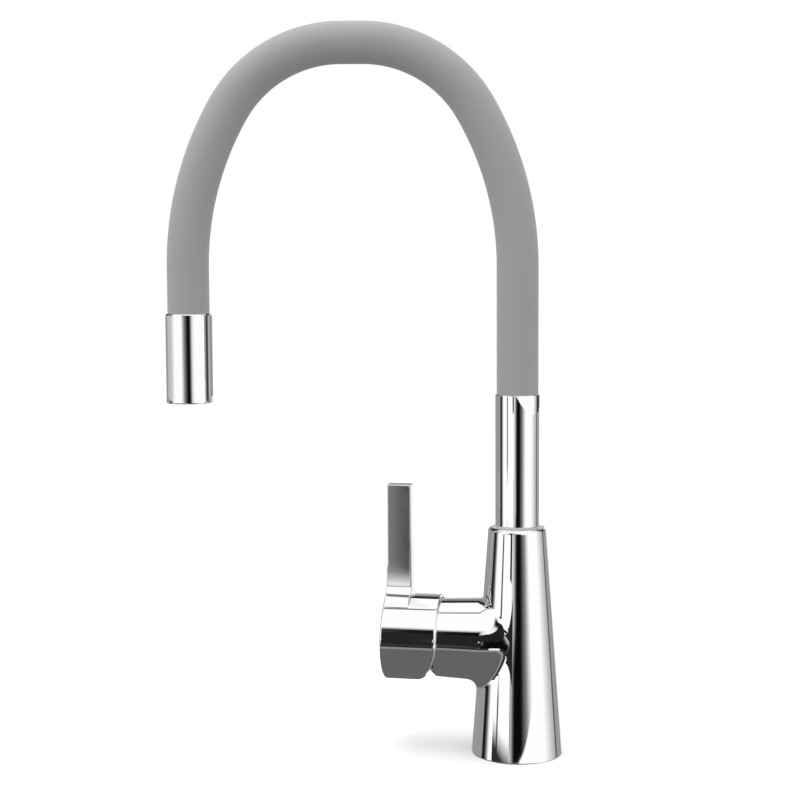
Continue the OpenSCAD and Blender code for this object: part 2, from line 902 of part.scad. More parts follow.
// From the crown bend to the lower bend
module neck_layer(r, bore) {
    side_x = reach - side_r;
    crown_x = half + bend_straight / 2;
    along_spout()
        union() {
            translate([crown_x - bend_straight, 0, crown_z])
                rotate([0, 90, 0])
                    layer_cup(r, bore, bend_straight);
            layer_joint(crown_x, crown_centre_z, crown_r, 90, r, bore);
            layer_arc(crown_x, crown_centre_z, crown_r, side_angle, 90, r, bore);
            layer_joint(crown_x, crown_centre_z, crown_r, side_angle, r, bore);
            layer_arc(side_x, leg_top, side_r, 0, side_angle, r, bore);
            layer_joint(side_x, leg_top, side_r, 0, r, bore);
            translate([reach, 0, leg_top]) rotate([180, 0, 0]) layer_bead(r, bore);
        }
}

// From the lower bend down to height z in the outlet
module outlet_layer(r, bore, z) {
    at_outlet()
        translate([0, 0, leg_top])
            rotate([180, 0, 0])
                layer_cup(r, bore, leg_top - z);
}

module riser_sleeve() {
    color(silicone) riser_layer(hose_r, sleeve_bore, sleeve_bottom);
}

module riser_core() {
    color(steel) riser_layer(core_r, core_bore, core_bottom + fit_gap);
}

module riser_liner() {
    color(plastic) riser_layer(liner_r, liner_bore, liner_bottom);
}

module neck_sleeve() {
    color(silicone) neck_layer(hose_r, sleeve_bore);
}

module neck_core() {
    color(steel) neck_layer(core_r, core_bore);
}

module neck_liner() {
    color(plastic) neck_layer(liner_r, liner_bore);
}

module outlet_sleeve() {
    color(silicone) outlet_layer(hose_r, sleeve_bore, sleeve_end);
}

module outlet_core() {
    color(steel) outlet_layer(core_r, core_bore, core_end + fit_gap);
}

module outlet_liner() {
    color(plastic) outlet_layer(liner_r, liner_bore, liner_end);
}

// Outlet

module at_outlet() {
    along_spout() translate([reach, 0, 0]) children();
}

// Brass fitting that joins the core and the liner to the outlet housing
module outlet_adapter() {
    color(brass)
        at_outlet()
            difference() {
                rod(adapter_bottom, adapter_len, adapter_r - fit_gap);
                rod(core_end, far, core_r + fit_gap);
                rod(liner_end - fit_gap, far, liner_r + fit_gap);
                rod(adapter_bottom - 1, far, spigot_bore);
            }
}

module outlet_housing() {
    edge = 1;
    color(chrome)
        at_outlet()
            difference() {
                rotate_extrude()
                    polygon([
                        [0, outlet_bottom], [outlet_r - edge / 2, outlet_bottom],
                        [outlet_r, outlet_bottom + edge / 2], [outlet_r, outlet_top - edge],
                        [outlet_r - edge * 0.3, outlet_top - edge * 0.3],
                        [outlet_r - edge, outlet_top], [0, outlet_top]
                    ]);
                rod(sleeve_end - fit_gap, far, hose_r + fit_gap);
                rod(adapter_bottom - fit_gap, far, adapter_r);
                rod(outlet_bottom - 1, far, adapter_r - shelf_w);
                rod(outlet_bottom - 1, aerator_seat_z - outlet_bottom + 1, aerator_r + fit_gap);
            }
}

module aerator_gasket() {
    gasket_r = aerator_r - 0.1;
    color(rubber) at_outlet() ring(gasket_z, gasket_t, gasket_r, gasket_r - gasket_w);
}

// Disc with rings of round jets
module aerator_insert() {
    rings = 3;
    outer_edge = 2.2;
    ring_step = (insert_r - outer_edge) / rings;
    color(plastic)
        at_outlet()
            difference() {
                rod(aerator_z + insert_lip, aerator_len - insert_lip, insert_r);
                translate([0, 0, aerator_z]) cylinder(r = jet_r, h = far);
                for (k = [1 : rings])
                    for (j = [0 : 6 * k - 1])
                        rotate([0, 0, j * 60 / k])
                            translate([k * ring_step, 0, aerator_z])
                                cylinder(r = jet_r, h = far, $fn = 24);
            }
}

// Threaded ring with two notches for a key
module aerator_ring() {
    notch_w = 2.4;
    notch_depth = 0.8;
    ledge_w = 1;
    color(chrome)
        at_outlet()
            difference() {
                rod(aerator_z, aerator_len, aerator_r);
                rod(aerator_z + insert_lip - fit_gap, far, insert_r + fit_gap);
                rod(aerator_z - 1, far, insert_r - ledge_w);
                translate([-notch_w / 2, -far / 2, aerator_z - 1]) cube([notch_w, far, notch_depth + 1]);
            }
}

body_casting();
deck_seal();
spout_lock_screw();
cartridge_base();
port_seals();
fixed_disc();
moving_disc();
disc_carrier();
cartridge_turret();
cartridge_housing();
cartridge_nut();
dome_cover();
stem();
stem_pin();
handle();
handle_set_screw();
screw_hole_plug();
swivel_washer();
swivel_spigot();
slip_rings();
spigot_orings();
riser_tube();
hose_ferrule();
riser_sleeve();
riser_core();
riser_liner();
neck_sleeve();
neck_core();
neck_liner();
outlet_sleeve();
outlet_core();
outlet_liner();
outlet_adapter();
outlet_housing();
aerator_gasket();
aerator_insert();
aerator_ring();
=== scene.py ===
"""Single-lever kitchen faucet with a bendable hose spout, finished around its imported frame.

Lengths are in millimetres in the dataclasses and turn into metres where a mesh is made; the
studio is in metres. The frame is the part's own: the origin is the centre of the foot on the
deck, +Z is up, the handle hub points along -X and the spout is turned a little from it.

In the names of sizes, _r is a radius, _w half of a width, _t a thickness, _z a height above the
deck, _at a distance from the body axis along the hub, and _edge the rounding of an edge.
"""

import json
import logging
import math
from collections.abc import Callable, Iterable, Sequence
from dataclasses import dataclass, field
from enum import Enum

import bpy
import numpy as np
from mathutils import Euler, Matrix, Vector


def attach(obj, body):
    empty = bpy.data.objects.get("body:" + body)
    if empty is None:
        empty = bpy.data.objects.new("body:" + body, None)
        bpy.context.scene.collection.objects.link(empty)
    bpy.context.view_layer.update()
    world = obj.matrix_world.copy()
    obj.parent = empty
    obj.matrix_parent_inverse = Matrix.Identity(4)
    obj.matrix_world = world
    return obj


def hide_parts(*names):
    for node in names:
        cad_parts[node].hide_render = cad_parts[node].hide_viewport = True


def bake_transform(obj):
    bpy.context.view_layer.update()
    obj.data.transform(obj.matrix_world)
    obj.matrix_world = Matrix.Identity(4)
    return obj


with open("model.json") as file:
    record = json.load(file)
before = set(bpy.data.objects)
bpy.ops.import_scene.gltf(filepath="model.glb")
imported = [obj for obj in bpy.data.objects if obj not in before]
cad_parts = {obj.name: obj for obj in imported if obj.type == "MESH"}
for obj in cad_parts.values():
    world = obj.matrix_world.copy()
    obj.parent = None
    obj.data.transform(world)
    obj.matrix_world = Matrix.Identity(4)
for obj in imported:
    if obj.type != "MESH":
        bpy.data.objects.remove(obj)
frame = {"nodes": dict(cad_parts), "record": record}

LOG = logging.getLogger("faucet")
MM = 0.001
FAR = 1e3
TINY = 1e-6
SHARP = 40.0

Array = np.ndarray
Field = Callable[[Array], Array]
Pair = tuple[float, float]
Colour = tuple[float, float, float]
Node = bpy.types.Node
Socket = bpy.types.NodeSocket
Object = bpy.types.Object
Material = bpy.types.Material


class Slot(str, Enum):
    """Material slots of the part's record."""

    CHROME_BODY = "chrome_body"
    CHROME_HANDLE = "chrome_handle"
    CHROME_TUBE = "chrome_tube"
    SILICONE = "silicone"
    BRASS = "brass"
    STEEL = "steel"
    RUBBER = "rubber"
    CERAMIC = "ceramic"
    CARTRIDGE = "cartridge_plastic"
    BEARING = "bearing_plastic"
    LINER = "liner_plastic"
    AERATOR = "aerator_plastic"
    PLUG = "plug_plastic"


class Body(str, Enum):
    """Moving bodies of the part that the shaped pieces ride on."""

    ROOT = "root"
    LEVER = "lever"
    SPOUT = "spout"
    NECK = "neck"
    OUTLET = "outlet"


# Node graphs


class Graph:
    """Thin builder for the nodes of a material, a world or a node group."""

    def __init__(self, tree: bpy.types.NodeTree) -> None:
        """Keeps the tree that the nodes go into."""
        self.tree = tree

    def feed(self, node: Node, inputs: dict[str | int, object]) -> Node:
        """Fills inputs of a node.

        Args:
            node: the node.
            inputs: sockets to link or plain values to set, by name or place of the input.

        Returns:
            The node itself.
        """
        for name, value in inputs.items():
            if isinstance(value, Socket):
                self.tree.links.new(value, node.inputs[name])
            else:
                node.inputs[name].default_value = value
        return node

    def node(self, kind: str, inputs: dict[str | int, object] | None = None,
             **settings: object) -> Node:
        """Adds a node.

        Args:
            kind: Blender's identifier of the node type.
            inputs: what its inputs are filled with.
            settings: attributes of the node, such as operation.

        Returns:
            The new node.
        """
        made = self.tree.nodes.new(kind)
        for name, value in settings.items():
            setattr(made, name, value)
        return self.feed(made, inputs or {})

    def math(self, operation: str, first: object, second: object = 0.0,
             clamp: bool = False) -> Socket:
        """Adds a math node.

        Args:
            operation: name of the operation.
            first: a socket or a number.
            second: a socket or a number.
            clamp: whether the result stays between 0 and 1.

        Returns:
            The output socket.
        """
        inputs = {0: first, 1: second}
        return self.node("ShaderNodeMath", inputs, operation=operation, use_clamp=clamp).outputs[0]

    def between(self, share: Socket, low: object, high: object) -> Socket:
        """Number that runs from low at share 0 to high at share 1."""
        span = self.math("SUBTRACT", high, low)
        return self.math("ADD", self.math("MULTIPLY", share, span), low)

    def between_colours(self, share: Socket, first: Colour, second: Colour) -> Socket:
        """Colour that runs from the first at share 0 to the second at share 1."""
        mix = self.node("ShaderNodeMix", {"Factor": share}, data_type="RGBA")
        ends = (socket for socket in mix.inputs if socket.type == "RGBA")
        for end, colour in zip(ends, (first, second)):
            end.default_value = (*colour, 1.0)
        return next(socket for socket in mix.outputs if socket.type == "RGBA")

    def group(self, tree: bpy.types.NodeTree, **values: float) -> Socket:
        """Places a shared group with values for its inputs and returns its output."""
        return self.node("ShaderNodeGroup", values, node_tree=tree).outputs[0]

    def bump(self, height: Socket, strength: float, reach: float) -> Socket:
        """Normal of a bump, from its height, strength and reach in metres."""
        inputs = {"Height": height, "Strength": strength, "Distance": reach}
        return self.node("ShaderNodeBump", inputs).outputs["Normal"]

    def noise(self, scale: object, detail: float, stretch: Vector | None = None) -> Socket:
        """Adds noise in object coordinates.

        Args:
            scale: socket or number with the scale, per metre.
            detail: octaves of the noise.
            stretch: scale along each axis, where it isn't even.

        Returns:
            The noise value.
        """
        place = self.node("ShaderNodeTexCoord").outputs["Object"]
        if stretch is not None:
            inputs = {"Vector": place, "Scale": stretch}
            place = self.node("ShaderNodeMapping", inputs).outputs["Vector"]
        inputs = {"Vector": place, "Scale": scale, "Detail": detail}
        return self.node("ShaderNodeTexNoise", inputs).outputs[0]


class EffectGroups:
    """Node groups that several finishes share, each with one output."""

    patch_start = 0.45
    fleck_scale = 14.0
    fleck_base = 0.6
    edge_gain = 12.0

    def __init__(self) -> None:
        """Builds each group once."""
        grain = {"Scale": 900.0, "Low": 0.0, "High": 1.0}
        lines = {"Scale": 60.0, "Low": 0.2, "High": 0.3}
        self.grain = self._ranged("FineGrain", grain, 4.0)
        self.turning = self._ranged("TurningLines", lines, 2.0, Vector((1.0, 1.0, 40.0)))
        self.handling = self._handling()
        self.worn_edges = self._worn_edges()

    @staticmethod
    def _start(name: str, inputs: dict[str, float]) -> tuple[Graph, dict[str, Socket]]:
        """Starts a group.

        Args:
            name: name of the group.
            inputs: name and default of each input.

        Returns:
            The graph of the group, and its inputs by name.
        """
        tree = bpy.data.node_groups.new(name, "ShaderNodeTree")
        kind = "NodeSocketFloat"
        for label, default in inputs.items():
            made = tree.interface.new_socket(name=label, in_out="INPUT", socket_type=kind)
            made.default_value = default
        tree.interface.new_socket(name="Value", in_out="OUTPUT", socket_type=kind)
        graph = Graph(tree)
        return graph, dict(graph.node("NodeGroupInput").outputs.items())

    @staticmethod
    def _end(graph: Graph, value: Socket) -> bpy.types.NodeTree:
        """Hands the value out of the group and returns the finished tree."""
        graph.node("NodeGroupOutput", {"Value": value})
        return graph.tree

    def _ranged(self, name: str, inputs: dict[str, float], detail: float,
                stretch: Vector | None = None) -> bpy.types.NodeTree:
        """Noise from Low to High: even grain, or lines round the axis where it is stretched.

        Args:
            name: name of the group.
            inputs: name and default of each input.
            detail: octaves of the noise.
            stretch: scale along each axis, where it isn't even.

        Returns:
            The group.
        """
        graph, given = self._start(name, inputs)
        noise = graph.noise(given["Scale"], detail, stretch)
        return self._end(graph, graph.between(noise, given["Low"], given["High"]))

    def _handling(self) -> bpy.types.NodeTree:
        """Broad soft patches left by wiping and by water, with fine flecks in them."""
        inputs = {"Scale": 35.0, "Amount": 0.05, "Base": 0.05}
        graph, given = self._start("HandlingMarks", inputs)
        fine = graph.noise(graph.math("MULTIPLY", given["Scale"], self.fleck_scale), 2.0)
        broad = graph.noise(given["Scale"], 3.0)
        patch = graph.math("SUBTRACT", broad, self.patch_start, clamp=True)
        marks = graph.math("MULTIPLY", patch, graph.math("ADD", fine, self.fleck_base))
        rise = graph.math("MULTIPLY", marks, given["Amount"])
        return self._end(graph, graph.math("ADD", rise, given["Base"]))

    def _worn_edges(self) -> bpy.types.NodeTree:
        """1 on convex edges that hands and cloths rub, 0 elsewhere."""
        graph, given = self._start("WornEdges", {"Start": 0.52, "Scale": 220.0})
        bend = graph.node("ShaderNodeNewGeometry").outputs["Pointiness"]
        past = graph.math("SUBTRACT", bend, given["Start"])
        rise = graph.math("MULTIPLY", past, self.edge_gain, clamp=True)
        worn = graph.math("MULTIPLY", rise, graph.noise(given["Scale"], 3.0), clamp=True)
        return self._end(graph, worn)


# Finishes


def principled(name: str, colour: Colour) -> tuple[Material, Graph, Node]:
    """Starts a material.

    Args:
        name: name of the material.
        colour: base colour, linear.

    Returns:
        The material, its graph and its shader.
    """
    made = bpy.data.materials.new(name)
    made.use_nodes = True
    made.diffuse_color = (*colour, 1.0)
    shader = next(node for node in made.node_tree.nodes if node.type == "BSDF_PRINCIPLED")
    shader.inputs["Base Color"].default_value = (*colour, 1.0)
    return made, Graph(made.node_tree), shader


@dataclass(frozen=True)
class Finish:
    """Base of every surface finish.

    Args:
        name: name of the material.
        colour: base colour, linear.
        roughness: lowest roughness of the surface.
        grain: how far the grain raises the roughness.
        grain_scale: scale of the grain, per metre.
    """

    name: str
    colour: Colour
    roughness: float
    grain: float
    grain_scale: float = 900.0

    def material(self, groups: EffectGroups) -> Material:
        """Builds the material.

        Args:
            groups: the shared effect groups.

        Returns:
            The material, with its detail on the shader.
        """
        made, graph, shader = principled(self.name, self.colour)
        graph.feed(shader, self.detail(graph, groups))
        return made

    def detail(self, graph: Graph, groups: EffectGroups) -> dict[str, object]:
        """What goes into the shader's inputs: here the grain. Other finishes add to it."""
        top = self.roughness + self.grain
        grain = graph.group(groups.grain, Scale=self.grain_scale, Low=self.roughness, High=top)
        return {"Roughness": grain}


@dataclass(frozen=True)
class Plating(Finish):
    """Polished plating with wiped patches, fine ripple and rubbed edges.

    Args:
        marks: how far the wiped patches raise the roughness.
        marks_scale: scale of those patches, per metre.
        ripple: height of the ripple of the polished casting, in metres.
        ripple_scale: scale of the ripple, per metre.
        worn: colour of the rubbed edges, linear.
        worn_start: how convex an edge is where the rubbing starts.
    """

    marks: float = 0.05
    marks_scale: float = 36.0
    ripple: float = 4e-7
    ripple_scale: float = 40.0
    worn: Colour = (0.93, 0.92, 0.90)
    worn_start: float = 0.53

    def detail(self, graph: Graph, groups: EffectGroups) -> dict[str, object]:
        """Metal with its wiped patches, the ripple and the rubbed edges."""
        marks = {"Scale": self.marks_scale, "Amount": self.marks, "Base": self.roughness}
        edges = graph.group(groups.worn_edges, Start=self.worn_start)
        ripple = graph.group(groups.grain, Scale=self.ripple_scale)
        return {"Metallic": 1.0, "Roughness": graph.group(groups.handling, **marks),
                "Base Color": graph.between_colours(edges, self.colour, self.worn),
                "Normal": graph.bump(ripple, 0.2, self.ripple)}


@dataclass(frozen=True)
class TurnedMetal(Finish):
    """Machined metal with fine lines round its axis.

    Args:
        lines: height of the lines, in metres.
    """

    lines: float = 2e-5

    def detail(self, graph: Graph, groups: EffectGroups) -> dict[str, object]:
        """Metal with the lines left by the lathe."""
        top = self.roughness + self.grain
        lines = graph.group(groups.turning, Low=self.roughness, High=top)
        return {"Metallic": 1.0, "Roughness": lines, "Normal": graph.bump(lines, 0.25, self.lines)}


@dataclass(frozen=True)
class Moulded(Finish):
    """Moulded plastic, rubber or silicone with a fine texture.

    Args:
        texture: height of the texture, in metres.
        sheen: weight of the soft sheen of a matte skin.
        drift: how far the colour drifts over the piece.
        drift_scale: scale of that drift, per metre.
        fineness: how much finer the texture is than the grain.
        gloss: weight of the clear reflection.
    """

    texture: float = 4e-6
    sheen: float = 0.0
    drift: float = 0.03
    drift_scale: float = 30.0
    fineness: float = 1.6
    gloss: float = 0.4

    def detail(self, graph: Graph, groups: EffectGroups) -> dict[str, object]:
        """Grain, texture, sheen and a faint drift of the colour."""
        patches = graph.group(groups.grain, Scale=self.drift_scale)
        ends = [tuple(c * (1 + way * self.drift) for c in self.colour) for way in (-1, 1)]
        texture = graph.group(groups.grain, Scale=self.grain_scale * self.fineness)
        return super().detail(graph, groups) | {
            "Specular IOR Level": self.gloss, "Sheen Weight": self.sheen,
            "Base Color": graph.between_colours(patches, *ends),
            "Normal": graph.bump(texture, 0.3, self.texture)}


CHROME = (0.86, 0.87, 0.88)
FINISHES: dict[Slot, Finish] = {
    Slot.CHROME_BODY: Plating("polished_chrome_body", CHROME, 0.02, 0.0),
    Slot.CHROME_HANDLE: Plating("polished_chrome_handle", CHROME, 0.025, 0.0, marks=0.09),
    Slot.CHROME_TUBE: Plating("polished_chrome_tube", CHROME, 0.018, 0.0, marks=0.04, ripple=2e-7),
    Slot.SILICONE: Moulded("matte_silicone", (0.285, 0.29, 0.285), 0.62, 0.1, 1400.0,
                           texture=1.2e-5, sheen=0.25),
    Slot.BRASS: TurnedMetal("turned_brass", (0.78, 0.60, 0.30), 0.24, 0.16),
    Slot.STEEL: TurnedMetal("drawn_steel", (0.62, 0.62, 0.63), 0.26, 0.16),
    Slot.RUBBER: Moulded("black_rubber", (0.022, 0.022, 0.024), 0.6, 0.15, texture=8e-6),
    Slot.CERAMIC: Moulded("lapped_ceramic", (0.80, 0.78, 0.72), 0.16, 0.1, 1500.0, texture=1e-6),
    Slot.CARTRIDGE: Moulded("cartridge_resin", (0.72, 0.72, 0.71), 0.42, 0.12),
    Slot.BEARING: Moulded("bearing_resin", (0.62, 0.63, 0.64), 0.4, 0.12),
    Slot.LINER: Moulded("liner_resin", (0.75, 0.77, 0.78), 0.38, 0.12),
    Slot.AERATOR: Moulded("aerator_resin", (0.55, 0.56, 0.57), 0.36, 0.12),
    Slot.PLUG: Moulded("plug_resin", (0.58, 0.59, 0.60), 0.25, 0.1),
}


class Palette:
    """Materials of the finishes, built once each."""

    def __init__(self) -> None:
        """Builds the shared groups and an empty store."""
        self.groups = EffectGroups()
        self.made: dict[Slot, Material] = {}

    def __getitem__(self, slot: Slot) -> Material:
        """The material of a slot."""
        if slot not in self.made:
            self.made[slot] = FINISHES[slot].material(self.groups)
        return self.made[slot]


# Distance fields and their meshes


def smooth_union(first: Array, second: Array, reach: Array | float) -> Array:
    """Joins two fields with a blend.

    Args:
        first: one field.
        second: the other field.
        reach: distance over which they blend.

    Returns:
        The field of both together.
    """
    share = np.maximum(reach - np.abs(first - second), 0.0) / np.maximum(reach, TINY)
    return np.minimum(first, second) - share * share * reach / 4


def rounded_cut(first: Array, second: Array, radius: Array | float) -> Array:
    """Keeps what is inside both fields, with a rounded edge.

    Args:
        first: one field.
        second: the other field.
        radius: radius of the edge between them.

    Returns:
        The field of what is left.
    """
    a, b = first + radius, second + radius
    outside = np.hypot(np.maximum(a, 0.0), np.maximum(b, 0.0))
    return np.minimum(np.maximum(a, b), 0.0) + outside - radius


@dataclass
class FieldSurface:
    """Closed mesh of the zero set of a distance field, with its vertices on the surface.

    Args:
        shape: the field, from points in millimetres to distances.
        low: lowest corner of the space that is searched.
        high: highest corner of it.
        cell: size of a cell.
        rounds: how often the vertices are moved onto the surface.
    """

    shape: Field
    low: tuple[float, float, float]
    high: tuple[float, float, float]
    cell: float
    rounds: int = 4

    def build(self) -> tuple[Array, Array, Array]:
        """Finds the surface.

        Returns:
            Vertices in millimetres, quads, and the normal of each vertex.
        """
        cell = self.cell
        axes = [np.arange(a - cell * 2, b + cell * 3, cell) for a, b in zip(self.low, self.high)]
        counts = tuple(len(axis) for axis in axes)
        values = np.empty(counts, np.float32)
        plane = np.stack(np.meshgrid(axes[1], axes[2], indexing="ij"), -1).reshape(-1, 2)
        for i, x in enumerate(axes[0]):
            points = np.column_stack([np.full(len(plane), x), plane])
            values[i] = self.shape(points).reshape(counts[1:])
        inside = values < 0
        cells = tuple(count - 1 for count in counts)
        corners = [(i, j, k) for i in (0, 1) for j in (0, 1) for k in (0, 1)]
        total = np.zeros(cells, np.int8)
        for i, j, k in corners:
            total += inside[i:i + cells[0], j:j + cells[1], k:k + cells[2]]
        active = (total > 0) & (total < len(corners))
        where = np.argwhere(active)
        index = np.full(cells, -1, np.int64)
        index[active] = np.arange(len(where))
        vertices = self._settle(self._crossings(values, where, axes, corners))
        return vertices, self._quads(inside, index), self._slope(vertices, cell * 0.05)

    def _crossings(self, values: Array, where: Array, axes: list[Array],
                   corners: list[tuple[int, int, int]]) -> Array:
        """Mean of the points where the surface crosses the edges of each cell.

        Args:
            values: the field at the points of the grid.
            where: the cells that the surface passes through.
            axes: the places of the grid's points along each axis.
            corners: steps to the corners of a cell.

        Returns:
            A point for each cell.
        """
        held = {c: values[tuple(where[:, k] + c[k] for k in range(3))] for c in corners}
        total, count = np.zeros((len(where), 3)), np.zeros(len(where))
        for a in corners:
            for axis in range(3):
                if a[axis]:
                    continue
                b = tuple(1 if i == axis else v for i, v in enumerate(a))
                cross = (held[a] < 0) != (held[b] < 0)
                share = np.where(cross, held[a] / np.where(cross, held[a] - held[b], 1.0), 0.0)
                place = np.array(a, float)[None] + np.eye(3)[axis][None] * share[:, None]
                total += place * cross[:, None]
                count += cross
        start = np.array([axis[0] for axis in axes])
        return start + (where + total / count[:, None]) * self.cell

    def _slope(self, points: Array, step: float) -> Array:
        """Unit gradient of the field at the points."""
        out = np.empty_like(points)
        for axis in range(3):
            shift = np.eye(3)[axis] * step
            out[:, axis] = self.shape(points + shift) - self.shape(points - shift)
        return out / np.maximum(np.linalg.norm(out, axis=1, keepdims=True), 1e-9)

    def _settle(self, points: Array) -> Array:
        """Moves points onto the surface, by at most a cell."""
        limit = self.cell / self.rounds
        for _ in range(self.rounds):
            gap = np.clip(self.shape(points), -limit, limit)[:, None]
            points = points - gap * self._slope(points, self.cell * 0.1)
        return points

    @staticmethod
    def _quads(inside: Array, index: Array) -> Array:
        """One quad round each edge of the grid that crosses the surface, wound outward.

        Args:
            inside: which points of the grid are inside.
            index: number of the vertex in each cell.

        Returns:
            Four vertex numbers for each quad.
        """
        found = []
        for axis in range(3):
            lower, upper = [slice(None)] * 3, [slice(None)] * 3
            lower[axis], upper[axis] = slice(0, -1), slice(1, None)
            edges = np.argwhere(inside[tuple(lower)] != inside[tuple(upper)])
            b, c = (axis + 1) % 3, (axis + 2) % 3
            edges = edges[(edges[:, b] > 0) & (edges[:, c] > 0)]
            ring = []
            for back in ((1, 1), (0, 1), (0, 0), (1, 0)):
                place = edges.copy()
                place[:, [b, c]] -= back
                ring.append(index[tuple(place.T)])
            quad = np.stack(ring, 1)
            inward = ~inside[tuple(edges.T)]
            quad[inward] = quad[inward][:, ::-1]
            found.append(quad)
        return np.vstack(found)


# Mesh helpers


def linked(name: str, data: bpy.types.ID) -> Object:
    """Makes an object of the data and links it to the scene."""
    made = bpy.data.objects.new(name, data)
    bpy.context.scene.collection.objects.link(made)
    return made


def smooth(mesh: bpy.types.Mesh, sharp: float | None) -> None:
    """Shades a mesh smooth, apart from edges above the sharp angle in degrees, where it's given."""
    mesh.polygons.foreach_set("use_smooth", [True] * len(mesh.polygons))
    if sharp is not None:
        mesh.set_sharp_from_angle(angle=math.radians(sharp))


def mesh_object(name: str, vertices: Array, faces: Iterable[Sequence[int]], material: Material,
                normals: Array | None = None, sharp: float | None = None) -> Object:
    """Makes a mesh object at the origin.

    Args:
        name: name of the piece.
        vertices: points in millimetres.
        faces: rows of vertex numbers.
        material: its finish.
        normals: normal of each vertex, where they are known.
        sharp: angle in degrees above which an edge is sharp.

    Returns:
        The object, linked to the scene.
    """
    mesh = bpy.data.meshes.new(name)
    points = (np.asarray(vertices) * MM).tolist()
    mesh.from_pydata(points, [], [list(map(int, face)) for face in faces])
    mesh.validate()
    mesh.materials.append(material)
    smooth(mesh, sharp)
    if normals is not None:
        mesh.normals_split_custom_set_from_vertices(normals.tolist())
    return linked(name, mesh)


def grid_faces(rows: int, columns: int, closed: bool = False) -> list[list[int]]:
    """Quads between the points of a grid.

    Args:
        rows: how many rows of points there are.
        columns: how many points a row has.
        closed: whether the last row joins the first.

    Returns:
        Four point numbers for each quad.
    """
    pairs = [(i, (i + 1) % rows) for i in range(rows if closed else rows - 1)]
    return [[i * columns + j, k * columns + j, k * columns + j + 1, i * columns + j + 1]
            for i, k in pairs for j in range(columns - 1)]


@dataclass
class Lathe:
    """Solid of revolution about a vertical axis.

    Args:
        profile: closed outline as (radius, height), walked with the solid on its left.
        centre: place of the axis on the deck plane.
        steps: number of steps round the axis.
    """

    profile: list[Pair]
    centre: Pair = (0.0, 0.0)
    steps: int = 160

    def build(self) -> tuple[Array, list[list[int]]]:
        """Turns the outline.

        Returns:
            Vertices and faces.
        """
        turn = np.linspace(0, 2 * math.pi, self.steps, endpoint=False)
        radius, height = np.array(self.profile, float).T
        x = self.centre[0] + radius[:, None] * np.cos(turn)[None]
        y = self.centre[1] + radius[:, None] * np.sin(turn)[None]
        z = np.repeat(height[:, None], self.steps, 1)
        rows, steps = len(self.profile), self.steps
        faces = []
        for i in range(rows):
            here, after = i * steps, (i + 1) % rows * steps
            for j in range(steps):
                k = (j + 1) % steps
                faces.append([here + j, here + k, after + k, after + j])
        return np.stack([x, y, z], -1).reshape(-1, 3), faces


def rounded(corners: Sequence[tuple[float, float, float]], steps: int = 6) -> list[Pair]:
    """Rounds the corners of a closed outline.

    Args:
        corners: its corners as (radius, height, rounding), with rounding 0 for a sharp one.
        steps: steps on each rounded corner.

    Returns:
        The outline with arcs at its corners.
    """
    out: list[Pair] = []
    places = [Vector((x, z, 0.0)) for x, z, _ in corners]
    for i, (_, _, radius) in enumerate(corners):
        before, here, after = places[i - 1], places[i], places[(i + 1) % len(places)]
        into, away = (before - here).normalized(), (after - here).normalized()
        half = into.angle(away) / 2
        if radius <= 0 or math.isclose(half, math.pi / 2, abs_tol=1e-3):
            out.append((here.x, here.y))
            continue
        reach = radius / math.tan(half)
        centre = here + (into + away).normalized() * (radius / math.sin(half))
        first, last = here + into * reach - centre, here + away * reach - centre
        swing = first.to_2d().angle_signed(last.to_2d())
        for k in range(steps + 1):
            turned = Matrix.Rotation(-swing * k / steps, 3, "Z") @ first
            out.append((centre.x + turned.x, centre.y + turned.y))
    return supported(out)


def supported(outline: list[Pair], margin: float = 0.12) -> list[Pair]:
    """Adds a point near both ends of each long stretch, which keeps the shading flat along it.

    Args:
        outline: points of a closed outline.
        margin: distance of the added points from the ends.

    Returns:
        The outline with the added points.
    """
    out: list[Pair] = []
    for here, after in zip(outline, outline[1:] + outline[:1]):
        out.append(here)
        start, stop = Vector((*here, 0.0)), Vector((*after, 0.0))
        length = (stop - start).length
        if length > 8 * margin:
            for share in (margin / length, 1 - margin / length):
                place = start.lerp(stop, share)
                out.append((place.x, place.y))
    return out


# Casting and handle


@dataclass(frozen=True)
class Hub:
    """Where the side stub stands.

    Args:
        height: height of its axis above the deck.
    """

    height: float = 63.9

    def local(self, points: Array) -> tuple[Array, Array, Array, Array]:
        """Points seen from the hub axis.

        Args:
            points: points of the part.

        Returns:
            Distance out from the body axis, height above the hub axis, place beside it and
            radius about it.
        """
        out, up, side = -points[:, 0], points[:, 2] - self.height, points[:, 1]
        return out, up, side, np.hypot(up, side)


